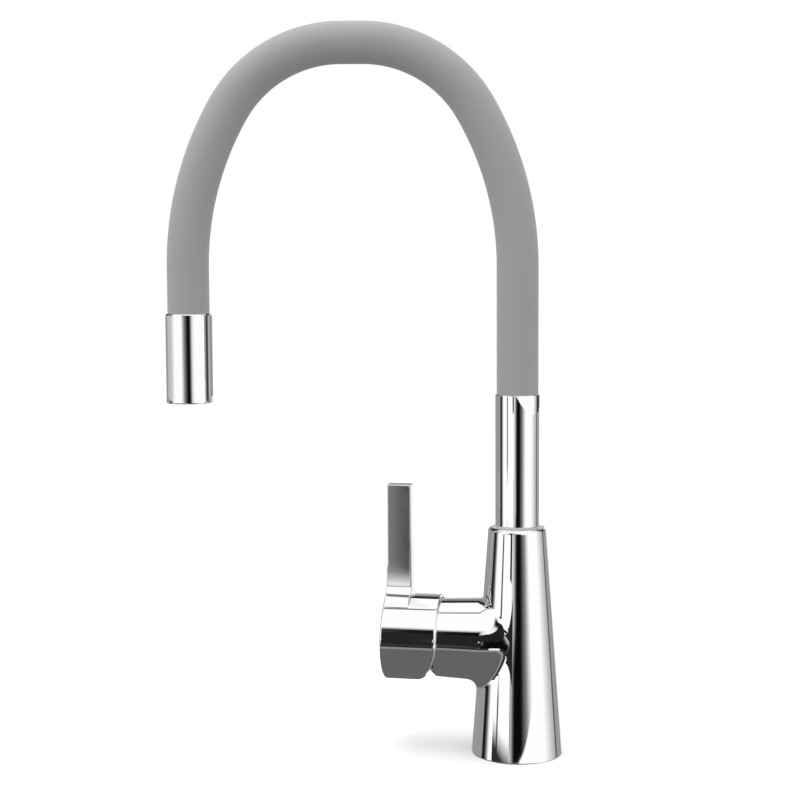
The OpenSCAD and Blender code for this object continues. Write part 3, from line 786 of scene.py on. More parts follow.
@dataclass(frozen=True)
class BodyHollows:
    """What is bored and cast out of the body.

    The bore takes the cartridge and its thread the nut, and the socket takes the spigot of the
    spout. The relief hollows the foot, and the seal is the groove round it, both with their mean
    radius. The stud and the inlets screw in from below, a water way goes on from each inlet, and
    the screw locks the spout from behind.
    """

    bore_r: float = 17.45
    bore_at: float = 14.0
    thread_r: float = 18.7
    thread_at: float = 36.2
    socket_r: float = 11.0
    socket_z: float = 88.0
    relief_r: float = 17.6
    relief_w: float = 2.4
    relief_z: float = 34.0
    seal_r: float = 22.9
    seal_w: float = 1.45
    seal_z: float = 2.05
    stud_x: float = -10.5
    stud_r: float = 3.4
    stud_z: float = 20.0
    inlet_x: float = 5.0
    inlet_y: float = 9.0
    inlet_r: float = 4.5
    inlet_z: float = 14.0
    way_r: float = 3.4
    way_z: float = 67.7
    screw_r: float = 2.5
    screw_z: float = 107.4

    def shape(self, points: Array, hub: Hub) -> Array:
        """Field of all the hollows together."""
        x, y, z = points.T
        out, _, _, radius = hub.local(points)
        about = np.hypot(x, y)
        bore = radius - np.where(out > self.thread_at, self.thread_r, self.bore_r)
        stud = np.hypot(x - self.stud_x, y) - self.stud_r
        beside = np.hypot(x - self.inlet_x, np.abs(y) - self.inlet_y)
        inlets = beside - np.where(z > self.inlet_z, self.way_r, self.inlet_r)
        return np.minimum.reduce([
            np.maximum(bore, self.bore_at - out),
            np.maximum(about - self.socket_r, self.socket_z - z),
            np.maximum(np.abs(about - self.relief_r) - self.relief_w, z - self.relief_z),
            np.maximum(np.abs(about - self.seal_r) - self.seal_w, z - self.seal_z),
            np.maximum(stud, z - self.stud_z),
            np.maximum(inlets, z - self.way_z),
            np.maximum(np.hypot(x, z - self.screw_z) - self.screw_r, -y),
        ])


@dataclass
class BodyCasting:
    """Tapered column with the side stub that takes the cartridge, cast in one and plated.

    The column tapers from the base to the radius it would have at its top. The stub leaves the
    axis at its root, is widest at its barrel and tapers to its end. A blend is its reach above,
    beside and below the stub, and where the two surfaces run level at the front. The surface is
    searched a margin past the casting, cell by cell.
    """

    hub: Hub = field(default_factory=Hub)
    hollows: BodyHollows = field(default_factory=BodyHollows)
    base_r: float = 25.8
    top_r: float = 16.3
    height: float = 129.0
    shoulder: float = 1.8
    root_r: float = 20.7
    barrel_r: float = 23.4
    barrel_at: float = 19.0
    end_r: float = 22.2
    end_at: float = 45.5
    blend_up: float = 2.0
    blend_side: float = 14.0
    blend_down: float = 6.5
    blend_front: float = 3.5
    edge: float = 0.4
    margin: float = 0.5
    cell: float = 0.76

    def column(self, points: Array) -> Array:
        """Field of the tapered column."""
        x, y, z = points.T
        slope = (self.base_r - self.top_r) / self.height
        side = (np.hypot(x, y) - self.base_r + slope * z) / math.hypot(1, slope)
        return rounded_cut(rounded_cut(side, z - self.height, self.shoulder), -z, self.edge)

    def stub(self, points: Array) -> Array:
        """Field of the stub, which swells out of the column and then tapers."""
        out, _, _, radius = self.hub.local(points)
        rise = np.clip(out / self.barrel_at, 0, 1)
        swell = self.root_r + (self.barrel_r - self.root_r) * rise * rise * (3 - 2 * rise)
        taper = (self.barrel_r - self.end_r) / (self.end_at - self.barrel_at)
        past = out - self.barrel_at
        width = np.where(past > 0, self.barrel_r - taper * past, swell)
        barrel = np.where(out < 0, np.hypot(radius, out) - self.root_r, radius - width)
        return rounded_cut(barrel, out - self.end_at, self.edge)

    def outside(self, points: Array) -> Array:
        """Field of column and stub with the cast blend between them."""
        out, up, _, radius = self.hub.local(points)
        tilt = up / np.maximum(radius, TINY)
        reach = self.blend_side + (self.blend_up - self.blend_side) * np.maximum(tilt, 0) ** 2
        reach = reach + (self.blend_down - self.blend_side) * np.maximum(-tilt, 0) ** 2
        x, y, _ = points.T
        level = y * y / np.maximum(np.hypot(x, y) * radius, TINY)
        facing = np.where(out > 0, 1 - level, 0)
        front = self.blend_front * np.clip(out / self.barrel_at, 0, 1)
        reach = reach * facing + front * (1 - facing)
        return smooth_union(self.column(points), self.stub(points), reach)

    def shape(self, points: Array) -> Array:
        """Field of the casting."""
        return rounded_cut(self.outside(points), -self.hollows.shape(points, self.hub), self.edge)

    def build(self, palette: Palette) -> Object:
        """Makes the casting.

        Args:
            palette: the finishes.

        Returns:
            The piece, riding on the fixed body.
        """
        wide = self.base_r + self.margin
        low = (-self.end_at - self.margin, -wide, -self.margin)
        high = (wide, wide, self.height + self.margin)
        vertices, quads, normals = FieldSurface(self.shape, low, high, self.cell).build()
        made = mesh_object("body", vertices, quads, palette[Slot.CHROME_BODY], normals=normals)
        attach(made, Body.ROOT.value)
        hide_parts("body_casting")
        return made


@dataclass
class Handle:
    """Round cap over the stub with an upright blade, cast in one and plated.

    Args:
        rim_arc: radius of the arc that cuts the lower half of the rim back.
        end_wall: thickness of the flat end.
        blade_len: length of the blade along the hub, at its foot.
        blade_lean: how much each edge of the blade draws in towards the tip.
        blade_top: height of the tip above the hub axis.
        foot: reach of the blend at the foot of the blade.
        flank_rise: height above the cap at which the foot starts to widen.
        flank_high: height over which it widens.
        flank_slope: how fast it widens.
        edge_fade: height over which the edge of the end turns into that of the blade.
        boss_lap: how far the boss for the stem runs into the flat end.
        boss_foot: reach of the blend at the boss.
        stem_w: half of the width of the square socket for the stem.
        plug_top: height of the end of the plug's hole, from the hub axis.
        margin: how far past the handle the surface is searched.
        cell: size of a cell of the search.
    """

    hub: Hub = field(default_factory=Hub)
    cap_r: float = 24.5
    bore_r: float = 22.9
    bore_edge: float = 0.3
    rim_at: float = 43.1
    rim_arc: float = 30.0
    rim_edge: float = 1.1
    end_at: float = 74.9
    end_wall: float = 3.4
    end_edge: float = 1.0
    blade_len: float = 14.9
    blade_lean: float = 0.55
    blade_t: float = 8.4
    blade_top: float = 87.9
    blade_edge: float = 0.6
    foot: float = 3.0
    flank_rise: float = 4.5
    flank_high: float = 8.0
    flank_slope: float = 1.0
    edge_fade: float = 3.0
    boss_r: float = 8.0
    boss_at: float = 53.0
    boss_lap: float = 1.0
    boss_foot: float = 1.0
    stem_w: float = 4.05
    stem_end: float = 64.3
    screw_at: float = 61.0
    screw_r: float = 2.5
    plug_r: float = 3.0
    plug_top: float = -10.0
    margin: float = 0.5
    cell: float = 0.5

    def outside(self, points: Array) -> Array:
        """Field of cap and blade with the blend at the foot."""
        out, up, side, radius = self.hub.local(points)
        above = (up - self.cap_r) / (self.blade_top - self.cap_r)
        drawn = self.blade_lean * np.clip(above, 0, 1)
        ring = radius - self.cap_r
        below = np.clip(self.cap_r + self.flank_rise - up, 0, self.flank_high)
        flank = self.blade_t / 2 + self.flank_slope * below
        flat = np.where(up > 0, np.abs(side) - flank, FAR)
        foot = smooth_union(ring, flat, self.foot)
        inner = self.end_at - self.blade_len + drawn - out
        solid = np.minimum(ring, rounded_cut(foot, inner, self.blade_edge))
        solid = rounded_cut(solid, up - self.blade_top, self.blade_edge)
        share = np.clip((self.cap_r + self.edge_fade - up) / self.edge_fade, 0, 1)
        edge = self.blade_edge + (self.end_edge - self.blade_edge) * share
        return rounded_cut(solid, out - self.end_at + drawn, edge)

    def rim(self, points: Array) -> Array:
        """Field that ends the cap at its rim: straight above, cut back by an arc below."""
        out, up, _, _ = self.hub.local(points)
        centre = self.rim_at + self.rim_arc
        arc = np.hypot(up, out - centre) - self.rim_arc
        return np.where((up < 0) & (out < centre), arc, self.rim_at - out)

    def shape(self, points: Array) -> Array:
        """Field of the handle with its bore, boss, stem socket and screw hole."""
        out, up, side, radius = self.hub.local(points)
        solid = rounded_cut(self.outside(points), self.rim(points), self.rim_edge)
        bore = np.maximum(radius - self.bore_r, out - self.end_at + self.end_wall)
        solid = rounded_cut(solid, -bore, self.bore_edge)
        length = np.maximum(self.boss_at - out, out - self.end_at + self.boss_lap)
        solid = smooth_union(solid, np.maximum(radius - self.boss_r, length), self.boss_foot)
        square = np.maximum(np.abs(up), np.abs(side)) - self.stem_w
        socket = np.maximum(square, out - self.stem_end)
        hole = np.where(up < self.plug_top, self.plug_r, self.screw_r)
        screw = np.maximum(np.hypot(out - self.screw_at, side) - hole, up)
        return np.maximum(solid, -np.minimum(socket, screw))

    def build(self, palette: Palette) -> Object:
        """Makes the handle.

        Args:
            palette: the finishes.

        Returns:
            The piece, riding on the lever.
        """
        wide = self.cap_r + self.margin
        low = (-self.end_at - self.margin, -wide, self.hub.height - wide)
        high = (-self.rim_at + self.margin, wide, self.hub.height + self.blade_top + self.margin)
        vertices, quads, normals = FieldSurface(self.shape, low, high, self.cell).build()
        finish = palette[Slot.CHROME_HANDLE]
        made = mesh_object("lever_handle", vertices, quads, finish, normals=normals)
        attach(made, Body.LEVER.value)
        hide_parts("handle")
        return made


# Turned pieces and the hose


@dataclass
class RiserTube:
    """Plated tube between the body and the hose, with a seat at its top for the hose's end."""

    radius: float = 12.4
    bore: float = 11.0
    seat_r: float = 11.7
    seat_depth: float = 6.05
    bottom: float = 130.0
    top: float = 203.8
    foot_edge: float = 0.25
    lip_edge: float = 0.45
    bore_edge: float = 0.1
    seat_edge: float = 0.15

    def build(self, palette: Palette) -> Object:
        """Makes the tube.

        Args:
            palette: the finishes.

        Returns:
            The piece, riding on the spout.
        """
        seat = self.top - self.seat_depth
        outline = rounded([
            (self.bore, self.bottom, self.bore_edge), (self.radius, self.bottom, self.foot_edge),
            (self.radius, self.top, self.lip_edge), (self.seat_r, self.top, self.seat_edge),
            (self.seat_r, seat, 0), (self.bore, seat, 0),
        ])
        finish = palette[Slot.CHROME_TUBE]
        made = mesh_object("riser_pipe", *Lathe(outline).build(), finish, sharp=SHARP)
        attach(made, Body.SPOUT.value)
        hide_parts("riser_tube")
        return made


@dataclass(frozen=True)
class SpoutPath:
    """Centreline of the hose, in the plane of the spout.

    Args:
        turn: turn of the spout from the handle hub, in degrees.
        reach: distance between the legs.
        crown_z: height of the centreline at the crown.
        crown_r: radius of the crown arcs.
        crown_half: angle of each crown arc, in degrees.
        straight: length of the straight stretch between them.
        start_z: height of the end in the riser.
        end_z: height of the end in the outlet.
        part_angle: where on the falling crown arc the two lengths of the hose meet, in degrees.
        lap: how far each length runs past that place, in degrees.
        step: length of a step on an arc; a step on a leg is three times as long.
        straight_steps: steps on the straight stretch.
        drop_steps: steps on the leg above the outlet.
    """

    turn: float = 11.5
    reach: float = 183.4
    crown_z: float = 398.2
    crown_r: float = 72.0
    crown_half: float = 60.0
    straight: float = 12.0
    start_z: float = 197.8
    end_z: float = 243.8
    part_angle: float = 45.0
    lap: float = 0.3
    step: float = 1.0
    straight_steps: int = 6
    drop_steps: int = 14

    @property
    def crown_start(self) -> float:
        """Distance from the riser to the start of the straight stretch."""
        return (self.reach - self.straight) / 2

    @property
    def side_r(self) -> float:
        """Radius of the arcs between the crown and the legs."""
        lean = math.sin(math.radians(self.crown_half))
        return (self.crown_start - self.crown_r * lean) / (1 - lean)

    @property
    def centre_z(self) -> float:
        """Height of the centres of the crown arcs."""
        return self.crown_z - self.crown_r

    @property
    def leg_top(self) -> float:
        """Height at which the legs start to bend."""
        lean = math.cos(math.radians(self.crown_half))
        return self.centre_z - (self.side_r - self.crown_r) * lean

    @property
    def away(self) -> Vector:
        """Horizontal direction from the riser to the outlet."""
        turn = math.radians(180 + self.turn)
        return Vector((math.cos(turn), math.sin(turn), 0.0))

    def place(self, along: float, height: float) -> Vector:
        """Point in metres, from its distance from the riser and its height."""
        return (self.away * along + Vector((0.0, 0.0, height))) * MM

    def arc(self, centre: Pair, radius: float, first: float, last: float) -> list[Pair]:
        """Points on an arc.

        Args:
            centre: its centre, as distance from the riser and height.
            radius: its radius.
            first: angle of its start, which is left out, in degrees from away towards up.
            last: angle of its end.

        Returns:
            The points, as distance from the riser and height.
        """
        count = max(2, round(abs(math.radians(last - first)) * radius / self.step))
        turns = (math.radians(first + (last - first) * k / count) for k in range(1, count + 1))
        return [(centre[0] + radius * math.cos(t), centre[1] + radius * math.sin(t)) for t in turns]

    def rising(self) -> list[Vector]:
        """Centreline from the riser over the crown to the meeting place."""
        side, crown = 90 + self.crown_half, self.crown_start
        run = np.arange(0, self.leg_top - self.start_z, 3 * self.step)
        points = [(0.0, self.start_z + k) for k in run]
        points.append((0.0, self.leg_top))
        points += self.arc((self.side_r, self.leg_top), self.side_r, 180, side)
        points += self.arc((crown, self.centre_z), self.crown_r, side, 90)
        points += [(crown + self.straight * k / self.straight_steps, self.crown_z)
                   for k in range(1, self.straight_steps + 1)]
        centre = (crown + self.straight, self.centre_z)
        points += self.arc(centre, self.crown_r, 90, self.part_angle - self.lap)
        return [self.place(*point) for point in points]

    def falling(self) -> list[Vector]:
        """Centreline from the meeting place to the outlet."""
        side, first = 90 - self.crown_half, self.part_angle + self.lap
        centre, turn = (self.crown_start + self.straight, self.centre_z), math.radians(first)
        points = [(centre[0] + self.crown_r * math.cos(turn),
                   centre[1] + self.crown_r * math.sin(turn))]
        points += self.arc(centre, self.crown_r, first, side)
        points += self.arc((self.reach - self.side_r, self.leg_top), self.side_r, side, 0)
        drop = self.leg_top - self.end_z
        points += [(self.reach, self.leg_top - drop * k / self.drop_steps)
                   for k in range(1, self.drop_steps + 1)]
        return [self.place(*point) for point in points]


class NodeTree:
    """Base of the geometry trees: named inputs, then geometry that ends with its material."""

    name = "Tree"
    inputs: dict[str, tuple[str, object]] = {}

    def __init__(self) -> None:
        """Builds the tree."""
        tree = bpy.data.node_groups.new(self.name, "GeometryNodeTree")
        kind = "NodeSocketGeometry"
        tree.interface.new_socket(name="Geometry", in_out="INPUT", socket_type=kind)
        for label, (given, default) in self.inputs.items():
            made = tree.interface.new_socket(name=label, in_out="INPUT", socket_type=given)
            made.default_value = default
        tree.interface.new_socket(name="Material", in_out="INPUT",
                                  socket_type="NodeSocketMaterial")
        tree.interface.new_socket(name="Geometry", in_out="OUTPUT", socket_type=kind)
        self.graph = Graph(tree)
        self.given = self.graph.node("NodeGroupInput").outputs
        solid = self.step("GeometryNodeRealizeInstances", self.shape())
        coated = self.step("GeometryNodeSetMaterial", solid, Material=self.given["Material"])
        self.step("NodeGroupOutput", coated)

    def shape(self) -> Socket:
        """Adds the nodes of the shape and returns its geometry socket."""
        raise NotImplementedError

    def step(self, kind: str, geometry: Socket, **inputs: object) -> Socket | None:
        """Adds a node that changes geometry.

        Args:
            kind: Blender's identifier of the node type.
            geometry: what goes into it.
            inputs: its other inputs, by name.

        Returns:
            Its first output, or None where it has none.
        """
        made = self.graph.node(kind, {0: geometry, **inputs})
        return made.outputs[0] if made.outputs else None

    def vector(self, operation: str, first: Socket, second: Socket) -> Socket:
        """Adds a vector math node, where SCALE takes a number as the second input."""
        place = "Scale" if operation == "SCALE" else 1
        inputs = {0: first, place: second}
        return self.graph.node("ShaderNodeVectorMath", inputs, operation=operation).outputs[0]

    def apply(self, base: Object, name: str, material: Material, **values: object) -> Object:
        """Runs the tree on an object and keeps the result as a plain mesh.

        Args:
            base: the object that carries the tree's modifier, removed afterwards.
            name: name of the piece.
            material: its finish.
            values: inputs of the tree, by name with _ for a space.

        Returns:
            The piece, at the origin.
        """
        modifier = base.modifiers.new("Shape", "NODES")
        modifier.node_group = self.graph.tree
        wanted = {label.replace("_", " "): value for label, value in values.items()}
        wanted["Material"] = material
        for item in self.graph.tree.interface.items_tree:
            if item.in_out == "INPUT" and item.name in wanted:
                modifier[item.identifier] = wanted[item.name]
        graph = bpy.context.evaluated_depsgraph_get()
        mesh = bpy.data.meshes.new_from_object(base.evaluated_get(graph), depsgraph=graph)
        mesh.name = name
        bpy.data.objects.remove(base)
        self.face_outward(mesh)
        smooth(mesh, SHARP)
        return linked(name, mesh)

    @staticmethod
    def face_outward(mesh: bpy.types.Mesh) -> None:
        """Turns the faces of a closed mesh outward, if its volume comes out negative."""
        mesh.calc_loop_triangles()
        corners = np.empty(len(mesh.loop_triangles) * 3, np.int64)
        mesh.loop_triangles.foreach_get("vertices", corners)
        points = np.empty(len(mesh.vertices) * 3)
        mesh.vertices.foreach_get("co", points)
        a, b, c = points.reshape(-1, 3)[corners.reshape(-1, 3)].transpose(1, 0, 2)
        if np.einsum("ij,ij->i", a, np.cross(b, c)).sum() < 0:
            mesh.flip_normals()


class HoseTree(NodeTree):
    """Thick-walled tube swept along a curve, closed at both ends."""

    name = "HoseLayer"
    weld = 2e-6
    inputs = {
        "Outer Radius": ("NodeSocketFloat", 0.01),
        "Inner Radius": ("NodeSocketFloat", 0.008),
        "Steps Along": ("NodeSocketInt", 100),
        "Steps Around": ("NodeSocketInt", 48),
    }

    def shape(self) -> Socket:
        """Bends a grid into the tube: out along the curve on the outer radius, back on the inner.

        Returns:
            The tube.
        """
        graph, given, number = self.graph, self.given, self.graph.math
        along = given["Steps Along"]
        loop = number("MULTIPLY", along, 2.0)
        around = number("ADD", given["Steps Around"], 1.0)
        grid = graph.node("GeometryNodeMeshGrid", {
            "Size X": 1.0, "Size Y": 1.0, "Vertices X": number("ADD", loop, 1.0),
            "Vertices Y": around})
        spot = graph.node("GeometryNodeInputPosition").outputs[0]
        across, up, _ = graph.node("ShaderNodeSeparateXYZ", {0: spot}).outputs
        row = number("ROUND", number("MULTIPLY", number("ADD", across, 0.5), loop))
        row = number("MODULO", row, loop)
        back = number("GREATER_THAN", row, number("SUBTRACT", along, 0.5))
        mirrored = number("SUBTRACT", number("SUBTRACT", loop, 1.0), row)
        place = graph.between(back, row, mirrored)
        share = number("DIVIDE", place, number("SUBTRACT", along, 1.0))
        radius = graph.between(back, given["Outer Radius"], given["Inner Radius"])
        angle = number("MULTIPLY", number("ADD", up, 0.5), math.tau)
        sample = graph.node("GeometryNodeSampleCurve", mode="FACTOR")
        sample = graph.feed(sample, {"Curves": given["Geometry"], "Factor": share}).outputs
        side = self.vector("CROSS_PRODUCT", sample["Tangent"], sample["Normal"])
        ring = self.vector("ADD", self.vector("SCALE", sample["Normal"], number("COSINE", angle)),
                           self.vector("SCALE", side, number("SINE", angle)))
        target = self.vector("ADD", sample["Position"], self.vector("SCALE", ring, radius))
        tube = self.step("GeometryNodeSetPosition", grid.outputs["Mesh"], Position=target)
        return self.step("GeometryNodeMergeByDistance", tube, Distance=self.weld)


class PerforationTree(NodeTree):
    """Disc with a middle hole and rings of holes round it."""

    name = "PerforatedDisc"
    rings = 3
    disc_steps = 96
    hole_steps = 20
    deeper = 1.5
    weld = 1e-5
    inputs = {
        "Radius": ("NodeSocketFloat", 0.0095),
        "Height": ("NodeSocketFloat", 0.0074),
        "Hole Radius": ("NodeSocketFloat", 0.0009),
        "Ring Step": ("NodeSocketFloat", 0.0024),
    }

    def cylinder(self, steps: int, radius: Socket, depth: Socket) -> Socket:
        """Adds an upright cylinder about the origin."""
        inputs = {"Vertices": steps, "Radius": radius, "Depth": depth}
        return self.graph.node("GeometryNodeMeshCylinder", inputs).outputs["Mesh"]

    def shape(self) -> Socket:
        """Cuts a jet at the middle and at each point of the rings.

        Returns:
            The disc.
        """
        graph, given = self.graph, self.given
        join = graph.node("GeometryNodeJoinGeometry")
        for ring in range(self.rings + 1):
            radius = graph.math("MULTIPLY", given["Ring Step"], float(ring))
            inputs = {"Vertices": max(3, 6 * ring), "Radius": radius}
            graph.feed(join, {0: graph.node("GeometryNodeMeshCircle", inputs).outputs["Mesh"]})
        points = self.step("GeometryNodeMergeByDistance", join.outputs[0], Distance=self.weld)
        deep = graph.math("MULTIPLY", given["Height"], self.deeper)
        jet = self.cylinder(self.hole_steps, given["Hole Radius"], deep)
        jets = self.step("GeometryNodeInstanceOnPoints", points, Instance=jet)
        disc = self.cylinder(self.disc_steps, given["Radius"], given["Height"])
        cut = graph.node("GeometryNodeMeshBoolean", operation="DIFFERENCE")
        jets = self.step("GeometryNodeRealizeInstances", jets)
        return graph.feed(cut, {"Mesh 1": disc, "Mesh 2": jets}).outputs["Mesh"]


@dataclass(frozen=True)
class HoseLayer:
    """One layer of the hose, from its height in the riser to its height in the outlet.

    Args:
        around: steps round it.
        spacing: length of a step along it.
    """

    name: str
    outer: float
    inner: float
    slot: Slot
    low: float
    high: float
    around: int
    spacing: float


@dataclass
class Hose:
    """Bendable hose: a silicone sleeve over a shape-keeping core and a water liner.

    It is in two lengths, which meet where the hose is stiff.

    Args:
        crown_reach: half length of the hose that bends at the crown; not used.
        leg_reach: half length of the hose that bends above the outlet; not used.
        layers: the layers from the outside in.
    """

    crown_reach: float = 60.0
    leg_reach: float = 24.0
    layers: tuple[HoseLayer, ...] = (
        HoseLayer("sleeve", 11.65, 8.5, Slot.SILICONE, 197.8, 243.8, 72, 1.6),
        HoseLayer("core", 8.33, 5.73, Slot.STEEL, 183.85, 236.8, 36, 3.0),
        HoseLayer("liner", 5.56, 4.06, Slot.LINER, 138.0, 232.4, 28, 3.0),
    )

    @staticmethod
    def curve(points: list[Vector]) -> Object:
        """Makes a poly curve through the points."""
        data = bpy.data.curves.new("hose_path", "CURVE")
        data.dimensions = "3D"
        line = data.splines.new("POLY")
        line.points.add(len(points) - 1)
        line.points.foreach_set("co", [value for point in points for value in (*point, 1.0)])
        return linked("hose_path", data)

    def sweep(self, tree: HoseTree, layer: HoseLayer, part: str, points: list[Vector],
              palette: Palette) -> Object:
        """Sweeps a layer along points.

        Args:
            tree: the tree that bends it.
            layer: the layer.
            part: which length of the hose it is.
            points: its centreline, in metres.
            palette: the finishes.

        Returns:
            The piece.
        """
        length = sum((b - a).length for a, b in zip(points, points[1:])) / MM
        made = tree.apply(self.curve(points), f"hose_{layer.name}_{part}", palette[layer.slot],
                          Outer_Radius=layer.outer * MM, Inner_Radius=layer.inner * MM,
                          Steps_Along=round(length / layer.spacing), Steps_Around=layer.around)
        return made

    def build(self, palette: Palette) -> list[Object]:
        """Makes the layers, each in a rising and a falling length.

        Args:
            palette: the finishes.

        Returns:
            The pieces.
        """
        tree, made = HoseTree(), []
        for layer in self.layers:
            path = SpoutPath(start_z=layer.low, end_z=layer.high)
            over = self.sweep(tree, layer, "over", path.rising(), palette)
            path.place(path.crown_start - self.crown_reach, path.crown_z)
            path.place(path.crown_start + self.crown_reach, path.crown_z)
            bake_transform(over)
            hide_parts(f"riser_{layer.name}")
            down = self.sweep(tree, layer, "down", path.falling(), palette)
            path.place(path.reach, path.leg_top + self.leg_reach)
            path.place(path.reach, path.leg_top - self.leg_reach)
            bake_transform(down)
            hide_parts(f"neck_{layer.name}", f"outlet_{layer.name}")
            made += [over, down]
        return made


@dataclass
class OutletHead:
    """Plated outlet housing with its perforated aerator insert.

    The foot is a flare wider than the rest. The seat takes the hose, the adapter is of brass, the
    aerator's gasket bears on the shelf, and the thread takes the aerator.

    Args:
        path: centreline of the hose, which places the outlet.
        flare_len: length over which the foot widens.
        flare_steps: steps over that length.
        jet_rim: distance from the outer ring of jets to the edge of the insert.
    """

    path: SpoutPath = field(default_factory=SpoutPath)
    radius: float = 12.998
    flare: float = 0.1
    flare_len: float = 14.0
    flare_steps: int = 5
    bottom: float = 200.0
    top: float = 249.8
    foot_edge: float = 0.6
    top_edge: float = 1.0
    thread_edge: float = 0.25
    seat_edge: float = 0.2
    seat_r: float = 11.7
    seat_z: float = 243.75
    adapter_r: float = 10.65
    adapter_z: float = 227.3
    shelf_r: float = 9.05
    shelf_z: float = 211.3
    thread_r: float = 11.25
    insert_r: float = 9.5
    insert_low: float = 201.8
    insert_high: float = 209.2
    jet_r: float = 0.9
    jet_rim: float = 2.2

    def housing(self, palette: Palette) -> Object:
        """Makes the housing."""
        shares = [k / self.flare_steps for k in range(1, self.flare_steps + 1)]
        flare = [(self.radius - self.flare * (1 - (1 - share) ** 2),
                  self.bottom + self.flare_len * share, 0) for share in shares]
        outline = rounded([
            (self.thread_r, self.bottom, self.thread_edge),
            (self.radius, self.bottom, self.foot_edge), *flare,
            (self.radius - self.flare, self.top, self.top_edge),
            (self.seat_r, self.top, self.seat_edge), (self.seat_r, self.seat_z, 0),
            (self.adapter_r, self.seat_z, 0), (self.adapter_r, self.adapter_z, 0),
            (self.shelf_r, self.adapter_z, 0), (self.shelf_r, self.shelf_z, self.seat_edge),
            (self.thread_r, self.shelf_z, 0),
        ])
        x, y, _ = self.path.away * self.path.reach
        finish = palette[Slot.CHROME_TUBE]
        made = mesh_object("outlet_shell", *Lathe(outline, (x, y)).build(), finish, sharp=SHARP)
        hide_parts("outlet_housing")
        return made

    def insert(self, palette: Palette) -> Object:
        """Makes the insert with its jets."""
        height = self.insert_high - self.insert_low
        made = PerforationTree().apply(
            linked("insert_seed", bpy.data.meshes.new("insert_seed")), "aerator_jets",
            palette[Slot.AERATOR], Radius=self.insert_r * MM, Height=height * MM,
            Hole_Radius=self.jet_r * MM,
            Ring_Step=(self.insert_r - self.jet_rim) / PerforationTree.rings * MM)
        middle = self.path.place(self.path.reach, (self.insert_low + self.insert_high) / 2)
        made.data.transform(Matrix.Translation(middle))
        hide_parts("aerator_insert")
        return made

    def build(self, palette: Palette) -> list[Object]:
        """Makes both pieces, riding on the outlet."""
        made = [self.housing(palette), self.insert(palette)]
        for piece in made:
            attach(piece, Body.OUTLET.value)
        return made


# Studio, in metres


@dataclass(frozen=True)
class Panel:
    """Stretch of the studio wall that shows in the plating.

    It runs in azimuth, in degrees from the camera side towards the right, with its first
    brightness at the start and its last at the stop, and in elevation from low to high.
    """

    start: float
    stop: float
    low: float
    high: float
    first: float
    last: float

    def paint(self, azimuth: Array, elevation: Array, shade: Array) -> None:
        """Paints the panel into the wall's brightness."""
        share = (azimuth - self.start) % 360 / (self.stop - self.start)
        inside = (share <= 1) & (elevation >= self.low) & (elevation <= self.high)
        shade[inside] = (self.first + (self.last - self.first) * share)[inside]


def upright(x: Array, z: Array, distance: float) -> Array:
    """Rows of points on an upright plane at a distance in front of the body axis."""
    return np.stack([x, np.full_like(x, -distance), z], -1).reshape(-1, 3)


@dataclass(frozen=True)
class Screen:
    """Upright screen in front of the faucet that shows only in the plating.

    Its brightness runs from the first at the left edge to the last at the right edge.

    Args:
        distance: distance in front of the body axis.
        fade_low: stretch over which it fades to white at the bottom.
        fade_high: stretch over which it fades to white at the top.
        fade_power: how sharply it fades.
        flare_at: place from which it grows taller towards the right edge.
        flare_low: how much further down it reaches at the right edge.
        flare_high: how much further up it reaches there.
        count: points along each side.
    """

    distance: float
    left: float
    right: float
    low: float
    high: float
    first: float
    last: float
    fade_low: float = 0.0
    fade_high: float = 0.0
    fade_power: float = 1.6
    flare_at: float = 0.0
    flare_low: float = 0.0
    flare_high: float = 0.0
    count: int = 32

    def grid(self, white: float) -> tuple[Array, list[list[int]], Array]:
        """Builds the screen.

        Args:
            white: brightness of the wall that it fades to.

        Returns:
            Its points, its faces and the brightness at each point.
        """
        across = np.linspace(self.left, self.right, self.count)
        x, rise = np.meshgrid(across, np.linspace(0.0, 1.0, self.count), indexing="ij")
        flare = np.clip((x - self.flare_at) / max(self.right - self.flare_at, 1e-3), 0, 1) ** 2
        low = self.low - self.flare_low * flare
        z = low + (self.high + self.flare_high * flare - low) * rise
        shade = np.interp(x, (self.left, self.right), (self.first, self.last))
        for fade, inside in ((self.fade_low, z - self.low), (self.fade_high, self.high - z)):
            if fade > 0:
                share = np.clip(1 - inside / fade, 0, 1) ** self.fade_power
                shade = shade + (white - shade) * share
        faces = grid_faces(self.count, self.count)
        return upright(x, z, self.distance), faces, shade.reshape(-1)


